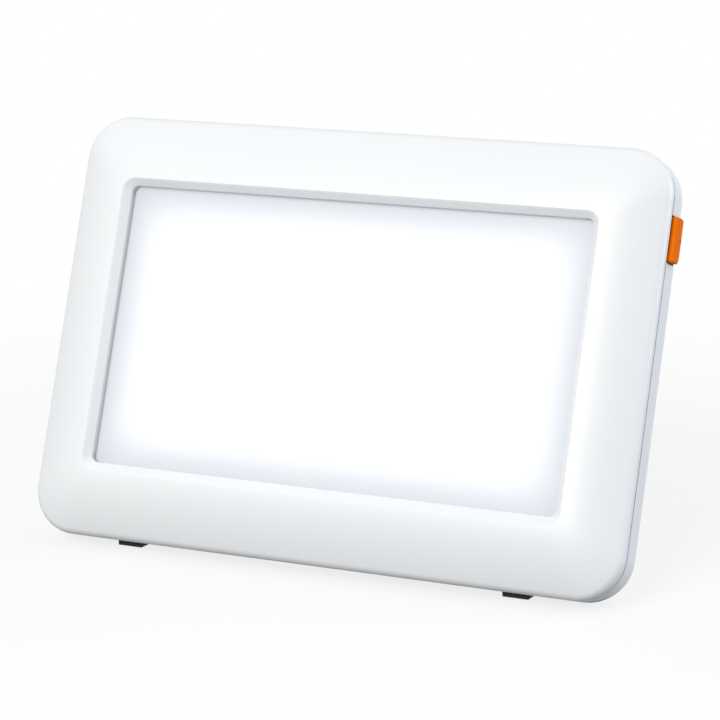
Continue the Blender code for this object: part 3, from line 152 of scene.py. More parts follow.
@dataclass(frozen=True)
class Finish:
    """A solid, matt-to-satin surface with a grain and a slow drift of tone.

    Attributes:
        name: The material's name.
        colour: The surface's sRGB colour.
        drift: The sRGB colour that parts of it lean to.
        drift_mm: How wide the patches of drift are.
        roughness: The surface's mean roughness.
        roughness_spread: How far the roughness strays from that mean.
        grain_mm: The width of one grain.
        grain_height_mm: How far the grain stands up.
        ior: The index of refraction; a metal keeps the default.
        metallic: One for bare metal.
        stretch: How much the pattern is drawn out along X, as for a rolled sheet.
        coat: The share of clear coat.
        subsurface: The share of light that goes under the surface.
        subsurface_mm: How far that light goes.
        specular: The strength of the mirror part; a half is the plain value.
        painted_shade: The sRGB colour of the painted shade that narrow seams and recesses lean to, or
            None for no painted shade.
        painted_shade_reach_mm: How wide a seam can be and still take painted shade.
        painted_shade_openness: How open a seam is where it is all painted shade, and where it has none.
    """

    name: str
    colour: str
    drift: str
    drift_mm: float = 40
    roughness: float = 0.4
    roughness_spread: float = 0.06
    grain_mm: float = 0.8
    grain_height_mm: float = 0.01
    ior: float = 1.5
    metallic: float = 0.0
    stretch: float = 1.0
    coat: float = 0.0
    subsurface: float = 0.0
    subsurface_mm: float = 1.5
    specular: float = 0.5
    painted_shade: str | None = None
    painted_shade_reach_mm: float = 2.5
    painted_shade_openness: tuple[float, float] = (0.25, 0.85)

    def begin(self) -> tuple[bpy.types.Material, bpy.types.NodeTree, bpy.types.Node]:
        """Makes the material with its shader's own settings.

        Returns:
            The material, its node tree and its shader.
        """
        material = bpy.data.materials.new(self.name)
        material.use_nodes = True
        tree = material.node_tree
        shader = tree.nodes["Principled BSDF"]
        shader.inputs["Metallic"].default_value = self.metallic
        if not self.metallic:
            shader.inputs["IOR"].default_value = self.ior
        shader.inputs["Coat Weight"].default_value = self.coat
        shader.inputs["Specular IOR Level"].default_value = self.specular
        if self.subsurface:
            shader.inputs["Subsurface Weight"].default_value = self.subsurface
            shader.inputs["Subsurface Scale"].default_value = self.subsurface_mm * MM
        return material, tree, shader

    def surface(
        self, tree: bpy.types.NodeTree, shader: bpy.types.Node, place: bpy.types.NodeSocket
    ) -> bpy.types.NodeSocket:
        """Adds the drift of tone, the uneven gloss, the grain and, where set, painted shade in narrow
        seams.

        Args:
            tree: The material's node tree.
            shader: Its shader.
            place: The coordinates that the pattern follows.

        Returns:
            The colour, for a finish that adds to it.
        """
        drawn = add_node(
            tree, "Mapping", {"Scale": (1 / self.stretch, 1, 1)}, {"Vector": place}
        ).outputs[0]
        patches = add_node(
            tree,
            "TexNoise",
            {"Scale": per_metre(self.drift_mm), "Detail": 3.0, "Roughness": 0.5},
            {"Vector": drawn},
        )
        colour = add_node(
            tree,
            "Mix",
            {"data_type": "RGBA", 6: linear(self.colour), 7: linear(self.drift)},
            {0: patches.outputs[0]},
        ).outputs[2]
        # Painted shade: ambient occlusion pulls narrow seams and recesses towards the shade colour.
        if self.painted_shade:
            seam = add_node(tree, "AmbientOcclusion", {"samples": 8, "Distance": self.painted_shade_reach_mm * MM})
            open_share = add_node(
                tree,
                "MapRange",
                {"From Min": self.painted_shade_openness[0], "From Max": self.painted_shade_openness[1]},
                {"Value": seam.outputs["AO"]},
            )
            colour = add_node(
                tree,
                "Mix",
                {"data_type": "RGBA", 6: linear(self.painted_shade)},
                {0: open_share.outputs[0], 7: colour},
            ).outputs[2]
        tree.links.new(colour, shader.inputs["Base Color"])
        grain = add_node(
            tree,
            "TexNoise",
            {"Scale": per_metre(self.grain_mm), "Detail": 2.0, "Roughness": 0.55},
            {"Vector": drawn},
        )
        gloss = add_node(
            tree,
            "MapRange",
            {
                "To Min": self.roughness - self.roughness_spread,
                "To Max": self.roughness + self.roughness_spread,
            },
            {"Value": grain.outputs[0]},
        )
        tree.links.new(gloss.outputs[0], shader.inputs["Roughness"])
        bump = add_node(
            tree,
            "Bump",
            {"Strength": 1.0, "Distance": self.grain_height_mm * MM},
            {"Height": grain.outputs[0]},
        )
        tree.links.new(bump.outputs[0], shader.inputs["Normal"])
        return colour

    def make(self) -> bpy.types.Material:
        """Makes the finished material."""
        material, tree, shader = self.begin()
        place = add_node(tree, "TexCoord").outputs["Object"]
        self.surface(tree, shader, place)
        return material


@dataclass(frozen=True)
class LitAcrylic(Finish):
    """Frosted opal acrylic with the lamps on behind it.

    Attributes:
        half_width: Half the lit width, in metres.
        half_height: Half the lit height, in metres.
        fade: How far in from the edge the light is still building up, in metres.
        edge_glow: The sRGB colour of the light at the very edge.
        edge_strength: The strength of the glow at the edge.
        centre_strength: The strength of the glow over the middle.
    """

    half_width: float = 98.5 * MM
    half_height: float = 56.5 * MM
    fade: float = 24 * MM
    edge_glow: str = "E9EDF1"
    edge_strength: float = 0.4
    centre_strength: float = 0.8

    def make(self) -> bpy.types.Material:
        """Makes the finished material, dimmer and cooler along its edges."""
        material, tree, shader = self.begin()
        place = add_node(tree, "TexCoord").outputs["Object"]
        self.surface(tree, shader, place)
        # The mapping stands the panel up and puts its middle at the origin.
        upright = Matrix.Rotation(LEAN_ANGLE, 4, "X")
        panel = add_node(
            tree,
            "Mapping",
            {"Rotation": (LEAN_ANGLE, 0, 0), "Location": -(upright @ LEAN_PLACE)},
            {"Vector": place},
        )
        axes = add_node(tree, "SeparateXYZ", links={0: panel.outputs[0]})
        margins = []
        for axis, half in (("X", self.half_width), ("Z", self.half_height)):
            away = add_node(tree, "Math", {"operation": "ABSOLUTE"}, {0: axes.outputs[axis]})
            margins.append(
                add_node(
                    tree, "Math", {"operation": "SUBTRACT", 0: half}, {1: away.outputs[0]}
                ).outputs[0]
            )
        # The corners of the glow are round, as the light falls off from two sides there.
        nearest = add_node(
            tree, "Math", {"operation": "SMOOTH_MIN", 2: self.fade}, {0: margins[0], 1: margins[1]}
        )
        build_up = add_node(
            tree,
            "MapRange",
            {"interpolation_type": "SMOOTHERSTEP", "From Min": -self.fade / 2, "From Max": self.fade},
            {"Value": nearest.outputs[0]},
        ).outputs[0]
        glow = add_node(
            tree,
            "Mix",
            {"data_type": "RGBA", 6: linear(self.edge_glow), 7: linear("FFFFFF")},
            {0: build_up},
        )
        strength = add_node(
            tree,
            "MapRange",
            {"To Min": self.edge_strength, "To Max": self.centre_strength},
            {"Value": build_up},
        )
        tree.links.new(glow.outputs[2], shader.inputs["Emission Color"])
        tree.links.new(strength.outputs[0], shader.inputs["Emission Strength"])
        return material


@dataclass(frozen=True)
class LedBoard(Finish):
    """White solder mask with yellow phosphor on each light source.

    Attributes:
        pitch: The distance between two light sources along the strip, in metres.
        half_size: Half the width of one light source, in metres.
        phosphor: The sRGB colour of the phosphor.
    """

    pitch: float = 14 * MM
    half_size: float = 1.2 * MM
    phosphor: str = "F2D64A"

    def make(self) -> bpy.types.Material:
        """Makes the finished material, with the phosphor repeated along X."""
        material, tree, shader = self.begin()
        place = add_node(tree, "TexCoord").outputs["Object"]
        board = self.surface(tree, shader, place)
        centred = add_node(tree, "Mapping", {"Location": (-LEAN_PLACE.x, 0, 0)}, {"Vector": place})
        across = add_node(tree, "SeparateXYZ", links={0: centred.outputs[0]})
        nearest = add_node(
            tree, "Math", {"operation": "PINGPONG", 1: self.pitch / 2}, {0: across.outputs["X"]}
        )
        on_source = add_node(
            tree,
            "Math",
            {"operation": "GREATER_THAN", 1: self.pitch / 2 - self.half_size},
            {0: nearest.outputs[0]},
        )
        colour = add_node(
            tree,
            "Mix",
            {"data_type": "RGBA", 7: linear(self.phosphor)},
            {0: on_source.outputs[0], 6: board},
        )
        tree.links.new(colour.outputs[2], shader.inputs["Base Color"])
        return material


@dataclass(frozen=True)
class CircuitBoard(Finish):
    """Green solder mask over copper tracks, which show as a lighter green.

    Attributes:
        track: The sRGB colour over a track.
        track_mm: The distance between tracks.
        bare_share: The level of the wave above which a track starts.
    """

    track: str = "1F7A45"
    track_mm: float = 2.54
    bare_share: float = 0.62

    def make(self) -> bpy.types.Material:
        """Makes the finished material, with its tracks along the board."""
        material, tree, shader = self.begin()
        place = add_node(tree, "TexCoord").outputs["Object"]
        mask = self.surface(tree, shader, place)
        tracks = add_node(
            tree,
            "TexWave",
            {
                "bands_direction": "X",
                "Scale": per_metre(self.track_mm) / 20,
                "Distortion": 1.5,
                "Detail": 1.0,
            },
            {"Vector": place},
        )
        over_track = add_node(
            tree, "Math", {"operation": "GREATER_THAN", 1: self.bare_share}, {0: tracks.outputs["Fac"]}
        )
        colour = add_node(
            tree, "Mix", {"data_type": "RGBA", 7: linear(self.track)}, {0: over_track.outputs[0], 6: mask}
        )
        tree.links.new(colour.outputs[2], shader.inputs["Base Color"])
        return material


# Injection-moulded ABS from a lightly sparked tool: a cool white with a soft sheen. The
# real spark grain is about 0.1 mm wide; it is drawn at 0.9 mm, so that it still shows.
# Painted shade, a dark blue-grey, darkens its seams, its grooves and the step round the window.
WHITE_ABS = Finish(
    name="moulded_white_abs",
    colour="F2F4F5",
    drift="EFF1F3",
    drift_mm=70,
    roughness=0.42,
    roughness_spread=0.05,
    grain_mm=0.9,
    grain_height_mm=0.012,
    ior=1.53,
    # Painted shade: ambient occlusion darkens seams and recesses up to 5 mm wide towards this blue-grey.
    painted_shade="566070",
    painted_shade_reach_mm=5,
)
# Opal acrylic sheet with a frosted face: no gloss, and the lights spread behind it.
OPAL_ACRYLIC = LitAcrylic(
    name="frosted_opal_acrylic",
    colour="8F949B",
    drift="8B9098",
    drift_mm=50,
    roughness=0.55,
    grain_mm=0.6,
    grain_height_mm=0.006,
    ior=1.49,
)
# Moulded orange ABS, polished more than the shells, so that its edges catch the light.
ORANGE_ABS = Finish(
    name="moulded_orange_abs",
    colour="FF7D00",
    drift="FC7600",
    drift_mm=9,
    roughness=0.45,
    roughness_spread=0.05,
    grain_mm=0.5,
    grain_height_mm=0.006,
    ior=1.53,
    specular=0.02,
    # Painted shade: ambient occlusion darkens seams up to 0.6 mm wide towards this deep orange.
    painted_shade="8A3400",
    painted_shade_reach_mm=0.6,
)
# Moulded EPDM rubber: nearly black, with a dry, dusty bloom in its grain.
BLACK_RUBBER = Finish(
    name="moulded_black_rubber",
    colour="1B1B1D",
    drift="2A2A2C",
    drift_mm=3,
    roughness=0.72,
    roughness_spread=0.1,
    grain_mm=0.4,
    grain_height_mm=0.03,
    ior=1.52,
)
# Glass-filled nylon, moulded: a dark satin with fine flow marks.
BLACK_NYLON = Finish(
    name="moulded_black_nylon",
    colour="1E1F21",
    drift="26272A",
    drift_mm=6,
    roughness=0.48,
    grain_mm=0.5,
    grain_height_mm=0.012,
    ior=1.53,
)
# Zinc-plated steel: a bright blue-grey metal with cloudy patches from the bath.
ZINC_STEEL = Finish(
    name="zinc_plated_steel",
    colour="C3C7CC",
    drift="A9AEB6",
    drift_mm=2,
    roughness=0.33,
    roughness_spread=0.1,
    grain_mm=0.4,
    grain_height_mm=0.004,
    metallic=1.0,
)
# Rolled aluminium sheet: long fine lines along the rolling direction.
ROLLED_ALUMINIUM = Finish(
    name="rolled_aluminium",
    colour="D5D7D9",
    drift="C4C7CA",
    drift_mm=3,
    roughness=0.36,
    roughness_spread=0.12,
    grain_mm=0.5,
    grain_height_mm=0.004,
    metallic=1.0,
    stretch=24,
)
# Reflector-grade white polycarbonate: dead matt, brighter than the shells.
REFLECTOR_WHITE = Finish(
    name="matt_white_polycarbonate",
    colour="F6F6F4",
    drift="F2F2EF",
    roughness=0.7,
    grain_mm=0.6,
    grain_height_mm=0.01,
    ior=1.58,
)
# Open-cell polyurethane foam: cells about 0.6 mm wide; random patches of darker grey, at the cells' size,
# are painted shade for the hollows between them.
GREY_FOAM = Finish(
    name="open_cell_grey_foam",
    colour="8A8B8E",
    drift="5A5B5F",
    drift_mm=0.6,
    roughness=0.95,
    roughness_spread=0.04,
    grain_mm=0.6,
    grain_height_mm=0.25,
    ior=1.45,
)
# White solder mask, screen printed over aluminium, with a yellow phosphor on each source.
LED_BOARD = LedBoard(
    name="white_solder_mask",
    colour="EFF0EA",
    drift="E8E9E2",
    drift_mm=12,
    roughness=0.38,
    grain_mm=0.5,
    grain_height_mm=0.006,
)
# Green solder mask on glass-fibre board: a glossy skin over the weave and the tracks.
GREEN_BOARD = CircuitBoard(
    name="green_solder_mask",
    colour="145C31",
    drift="0F4F29",
    drift_mm=4,
    roughness=0.28,
    grain_mm=0.5,
    grain_height_mm=0.01,
    coat=0.3,
)
# Natural nylon of a wire connector: cream, waxy and a little translucent.
CREAM_NYLON = Finish(
    name="natural_cream_nylon",
    colour="EADFC0",
    drift="E2D5B2",
    drift_mm=4,
    roughness=0.4,
    grain_mm=0.5,
    grain_height_mm=0.006,
    ior=1.53,
    subsurface=0.2,
)
# Extruded PVC insulation: smooth along the wire, with a soft sheen.
RED_PVC = Finish(
    name="extruded_red_pvc",
    colour="B01C14",
    drift="9E150F",
    drift_mm=5,
    roughness=0.38,
    grain_mm=0.4,
    grain_height_mm=0.006,
    ior=1.53,
    stretch=6,
)
# Electrolytic can in a black shrink sleeve, and moulded epoxy parts: duller than nylon.
BLACK_EPOXY = Finish(
    name="moulded_black_epoxy",
    colour="232325",
    drift="2C2C2F",
    drift_mm=2,
    roughness=0.6,
    grain_mm=0.4,
    grain_height_mm=0.015,
    ior=1.55,
)
# Extruded PVC in black, for the other wires.
BLACK_PVC = Finish(
    name="extruded_black_pvc",
    colour="202022",
    drift="28282A",
    drift_mm=5,
    roughness=0.4,
    grain_mm=0.4,
    grain_height_mm=0.006,
    ior=1.53,
    stretch=6,
)


# ---------------------------------------------------------------- forms


@dataclass(frozen=True)
class Outline:
    """A rounded rectangle seen from the front."""

    width: float
    height: float
    corner: float
    lowering: float = 0.0

    def inset(self, amount: float) -> "Outline":
        """The outline moved inwards by an amount, or outwards by a negative one."""
        corner = max(self.corner - amount, 0.8 * MM)
        return Outline(self.width - 2 * amount, self.height - 2 * amount, corner, self.lowering)

    def toward(self, other: "Outline", share: float) -> "Outline":
        """The outline a share of the way from this one to the other."""
        return Outline(
            self.width + (other.width - self.width) * share,
            self.height + (other.height - self.height) * share,
            self.corner + (other.corner - self.corner) * share,
            self.lowering + (other.lowering - self.lowering) * share,
        )

    def distance(self, x: float, z: float) -> float:
        """How far a point lies outside the outline; negative inside it."""
        across = abs(x) - (self.width / 2 - self.corner)
        up = abs(z + self.lowering) - (self.height / 2 - self.corner)
        past = math.hypot(max(across, 0), max(up, 0))
        return past + min(max(across, up), 0) - self.corner


@dataclass(frozen=True)
class Ring:
    """An outline at one depth behind the front."""

    outline: Outline
    depth: float


def closed_mesh(builder: bmesh.types.BMesh, name: str) -> bpy.types.Mesh:
    """Turns a closed bmesh's faces outwards and makes a mesh of it.

    Args:
        builder: The bmesh, which is freed.
        name: The mesh's name.

    Returns:
        The mesh.
    """
    bmesh.ops.recalc_face_normals(builder, faces=builder.faces)
    if builder.calc_volume(signed=True) < 0:
        bmesh.ops.reverse_faces(builder, faces=builder.faces)
    mesh = bpy.data.meshes.new(name)
    builder.to_mesh(mesh)
    builder.free()
    return mesh


def round_off(
    builder: bmesh.types.BMesh,
    edges: Sequence[bmesh.types.BMEdge],
    radius: float,
    steps: int,
    clamp: bool = False,
) -> None:
    """Rounds edges.

    Args:
        builder: The bmesh that has them.
        edges: The edges.
        radius: Their radius.
        steps: The number of faces round an edge.
        clamp: Whether the radius shrinks where roundings would meet.
    """
    bmesh.ops.bevel(
        builder,
        geom=edges,
        offset=radius,
        affect="EDGES",
        segments=steps,
        profile=0.5,
        material=-1,
        clamp_overlap=clamp,
    )


def slice_off(builder: bmesh.types.BMesh, point: Point, normal: Point) -> None:
    """Takes off what lies beyond a plane and closes the cut.

    Args:
        builder: The bmesh to cut.
        point: A point on the plane.
        normal: The direction in which everything goes.
    """
    bmesh.ops.bisect_plane(
        builder,
        geom=builder.verts[:] + builder.edges[:] + builder.faces[:],
        plane_co=point,
        plane_no=normal,
        clear_outer=True,
    )
    open_edges = [edge for edge in builder.edges if edge.is_boundary]
    bmesh.ops.contextual_create(builder, geom=open_edges)


def draw_ring(builder: bmesh.types.BMesh, ring: Ring, corner_steps: int) -> list[bmesh.types.BMEdge]:
    """Draws a ring as a loop of edges: a square, its corners rounded, its face taken off.

    Args:
        builder: The bmesh, which has no face yet.
        ring: The ring to draw.
        corner_steps: The number of edges round each corner.

    Returns:
        The loop's edges.
    """
    place = (
        Matrix.Translation((0, ring.depth, -ring.outline.lowering))
        @ Matrix.Rotation(RIGHT_ANGLE, 4, "X")
        @ Matrix.Diagonal((ring.outline.width, ring.outline.height, 1, 1))
    )
    square = bmesh.ops.create_grid(builder, x_segments=1, y_segments=1, size=0.5, matrix=place)
    bmesh.ops.bevel(
        builder,
        geom=square["verts"],
        offset=ring.outline.corner,
        affect="VERTICES",
        segments=corner_steps,
        profile=0.5,
        material=-1,
    )
    face = builder.faces[:][0]
    edges = list(face.edges)
    bmesh.ops.delete(builder, geom=[face], context="FACES_ONLY")
    return edges


def skin(name: str, rings: Sequence[Ring], closed: bool, corner_steps: int = 16) -> bpy.types.Mesh:
    """Stretches a skin over rings.

    Args:
        name: The mesh's name.
        rings: The rings in order.
        closed: Whether the last ring joins the first; otherwise both ends are capped.
        corner_steps: The number of edges round each corner.

    Returns:
        The closed mesh.
    """
    builder = bmesh.new()
    # The rings are drawn well apart and slid home once they are bridged, so that two
    # rings at one depth are paired point by point as well.
    apart = 4 * max(ring.outline.width for ring in rings)
    loops = [
        draw_ring(builder, Ring(ring.outline, ring.depth + apart * index), corner_steps)
        for index, ring in enumerate(rings)
    ]
    points = [list({point for edge in loop for point in edge.verts}) for loop in loops]
    pairs = list(zip(loops, loops[1:]))
    if closed:
        pairs.append((loops[-1], loops[0]))
    for near, far in pairs:
        bmesh.ops.bridge_loops(builder, edges=near + far)
    for index, ring_points in enumerate(points):
        bmesh.ops.translate(builder, verts=ring_points, vec=(0, -apart * index, 0))
    if not closed:
        for end in (loops[0], loops[-1]):
            bmesh.ops.contextual_create(builder, geom=end)
    return closed_mesh(builder, name)


def boxes(name: str, spans: Iterable[Span]) -> bpy.types.Mesh:
    """One mesh of separate boxes, each between two corners."""
    builder = bmesh.new()
    for low, high in spans:
        low, high = Vector(low), Vector(high)
        place = Matrix.Translation((low + high) / 2) @ Matrix.Diagonal((*(high - low), 1))
        bmesh.ops.create_cube(builder, size=1, matrix=place)
    return closed_mesh(builder, name)


def rods(
    name: str, spans: Iterable[Span], radius: float, end_radius: float | None = None, sides: int = 40
) -> bpy.types.Mesh:
    """One mesh of separate round rods, or cones.

    Args:
        name: The mesh's name.
        spans: Where each rod starts and ends.
        radius: The radius, at the start where they are cones.
        end_radius: The radius at the end, for cones.
        sides: The number of sides.

    Returns:
        The mesh.
    """
    builder = bmesh.new()
    for start, end in spans:
        start, end = Vector(start), Vector(end)
        turn = (end - start).to_track_quat("Z", "Y").to_matrix().to_4x4()
        bmesh.ops.create_cone(
            builder,
            cap_ends=True,
            segments=sides,
            radius1=radius,
            radius2=radius if end_radius is None else end_radius,
            depth=(end - start).length,
            matrix=Matrix.Translation((start + end) / 2) @ turn,
        )
    return closed_mesh(builder, name)


def turned(name: str, profile: Sequence[tuple[float, float]], sides: int = 48) -> bpy.types.Mesh:
    """A turned form round the Y axis, from its half section.

    Args:
        name: The mesh's name.
        profile: Points as distance from the axis and place along it.
        sides: The number of sides.

    Returns:
        The closed mesh.
    """
    builder = bmesh.new()
    points = [builder.verts.new((across, along, 0)) for across, along in profile]
    for first, second in zip(points, points[1:]):
        builder.edges.new((first, second))
    bmesh.ops.spin(
        builder,
        geom=builder.verts[:] + builder.edges[:],
        cent=(0, 0, 0),
        axis=(0, 1, 0),
        angle=2 * math.pi,
        steps=sides,
        use_merge=True,
    )
    bmesh.ops.remove_doubles(builder, verts=builder.verts, dist=MERGE_REACH)
    return closed_mesh(builder, name)


def rounded_box(name: str, low: Point, high: Point, radius: float, steps: int = 4) -> bpy.types.Mesh:
    """A box with all its edges rounded.

    Args:
        name: The mesh's name.
        low: The lowest corner.
        high: The highest corner.
        radius: The radius of the edges.
        steps: The number of faces round an edge.

    Returns:
        The mesh.
    """
    builder = bmesh.new()
    builder.from_mesh(boxes(name, [(low, high)]))
    round_off(builder, builder.edges[:], radius, steps)
    return closed_mesh(builder, name)


def joined(base: bpy.types.Mesh, *steps: tuple[Join, bpy.types.Mesh]) -> bpy.types.Mesh:
    """Adds meshes to a mesh or cuts them away, in order.

    Args:
        base: The mesh to start from.
        steps: What is done with each of the other meshes.

    Returns:
        The resulting mesh.
    """
    work = bpy.data.objects.new(base.name, base)
    bpy.context.scene.collection.objects.link(work)
    tools = []
    for join, mesh in steps:
        tool = bpy.data.objects.new(mesh.name, mesh)
        bpy.context.scene.collection.objects.link(tool)
        step = work.modifiers.new(join.value, "BOOLEAN")
        step.operation = join.value
        step.solver = "EXACT"
        step.object = tool
        tools.append(tool)
    graph = bpy.context.evaluated_depsgraph_get()
    result = bpy.data.meshes.new_from_object(work.evaluated_get(graph))
    result.name = base.name
    for spare in (work, *tools):
        bpy.data.objects.remove(spare)
    return result


def place_piece(
    name: str,
    mesh: bpy.types.Mesh,
    finish: bpy.types.Material,
    body: Body,
    place: Matrix = LEAN,
    stands_for: Sequence[str] = (),
    sharp_degrees: float = 30,
) -> bpy.types.Object:
    """Sets a finished mesh in the lamp.

    Args:
        name: The piece's name.
        mesh: Its mesh, in the frame that place turns from.
        finish: Its material.
        body: The body that it moves with.
        place: The turn and shift from the mesh's frame to the table's.
        stands_for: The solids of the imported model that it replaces.
        sharp_degrees: The angle from which an edge stays sharp.

    Returns:
        The piece's object, at the origin.
    """
    mesh.transform(place)
    mesh.shade_smooth()
    mesh.set_sharp_from_angle(angle=math.radians(sharp_degrees))
    mesh.materials.clear()
    mesh.materials.append(finish)
    mesh.name = name
    piece = bpy.data.objects.new(name, mesh)
    bpy.context.scene.collection.objects.link(piece)
    # Flat faces keep an even shade up to the roundings beside them.
    even = piece.modifiers.new("even_shade", "WEIGHTED_NORMAL")
    even.keep_sharp = True
    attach(piece, body.value)
    if stands_for:
        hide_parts(*stands_for)
    LOG.info("%s: %d faces", name, len(mesh.polygons))
    return piece


# ---------------------------------------------------------------- the body


@dataclass(frozen=True)
class Case:
    """The sizes that the two shells share.

    Attributes:
        body: The body's outline.
        window: The outer edge of the window, which sits a little lower than its mouth.
        mouth: The window's inner edge.
        wall: The shells' wall.
        crown_drop: How far the frame's front falls back at its outer edge.
        crown_power: How late that fall comes.
        edge_round: The radius between the front and the side.
        frame_rim: The depth at which the front frame ends.
        shadow_gap: The groove between the shells.
        cover_inset: How far the cover stands in from the frame.
        side_end: The depth at which the cover's rounding starts.
        back_rise: The depth of that rounding.
        screw_inset: From the body's edges to a corner screw.
        low_screw_spread: Between the two low screws.
        low_screw_inset: From the bottom to a low screw.
        boss_end: The depth at which the frame's screw bosses end.
    """

    body: Outline = Outline(250 * MM, 172 * MM, 18 * MM)
    window: Outline = Outline(202.2 * MM, 119 * MM, 5.2 * MM, 0.6 * MM)
    mouth: Outline = Outline(197 * MM, 113 * MM, 2.8 * MM)
    wall: float = 2.2 * MM
    bevel_drop: float = 3.3 * MM
    panel_seat: float = 6.4 * MM
    panel_overlap: float = 5 * MM
    crown_drop: float = 8 * MM
    crown_power: float = 1.7
    edge_round: float = 4.5 * MM
    inner_edge_round: float = 2.5 * MM
    frame_rim: float = 13.6 * MM
    shadow_gap: float = 0.8 * MM
    cover_inset: float = 0.2 * MM
    side_length: float = 8.4 * MM
    back_round: float = 6 * MM
    back_rise: float = 8 * MM
    screw_inset: float = 14.5 * MM
    low_screw_spread: float = 90 * MM
    low_screw_inset: float = 13 * MM
    screw_radius: float = 1.4 * MM
    screw_length: float = 9 * MM
    screw_head_radius: float = 2.6 * MM
    screw_head_height: float = 1.8 * MM
    boss_end: float = 14 * MM
    head_seat_wall: float = 4 * MM

    @property
    def side(self) -> Outline:
        """The cover's outline."""
        return self.body.inset(self.cover_inset)

    @property
    def cover_rim(self) -> float:
        """The depth at which the cover starts."""
        return self.frame_rim + self.shadow_gap

    @property
    def side_end(self) -> float:
        """The depth at which the cover's rounding starts."""
        return self.cover_rim + self.side_length

    @property
    def depth(self) -> float:
        """The whole body's depth."""
        return self.side_end + self.back_rise

    @property
    def screw_seat(self) -> float:
        """The depth of the faces that the case screws' heads press on."""
        return self.boss_end + SEAT_GAP + self.head_seat_wall

    def screw_places(self) -> list[tuple[float, float]]:
        """Where the case screws are, as X and Z."""
        x = self.body.width / 2 - self.screw_inset
        z = self.body.height / 2 - self.screw_inset
        low = self.low_screw_inset - self.body.height / 2
        places = [(sx * x, sz * z) for sx in (-1, 1) for sz in (-1, 1)]
        return places + [(s * self.low_screw_spread / 2, low) for s in (-1, 1)]

    def along_depth(self, start: float, end: float) -> list[Span]:
        """A span at each case screw, from one depth to another."""
        return [((x, start, z), (x, end, z)) for x, z in self.screw_places()]


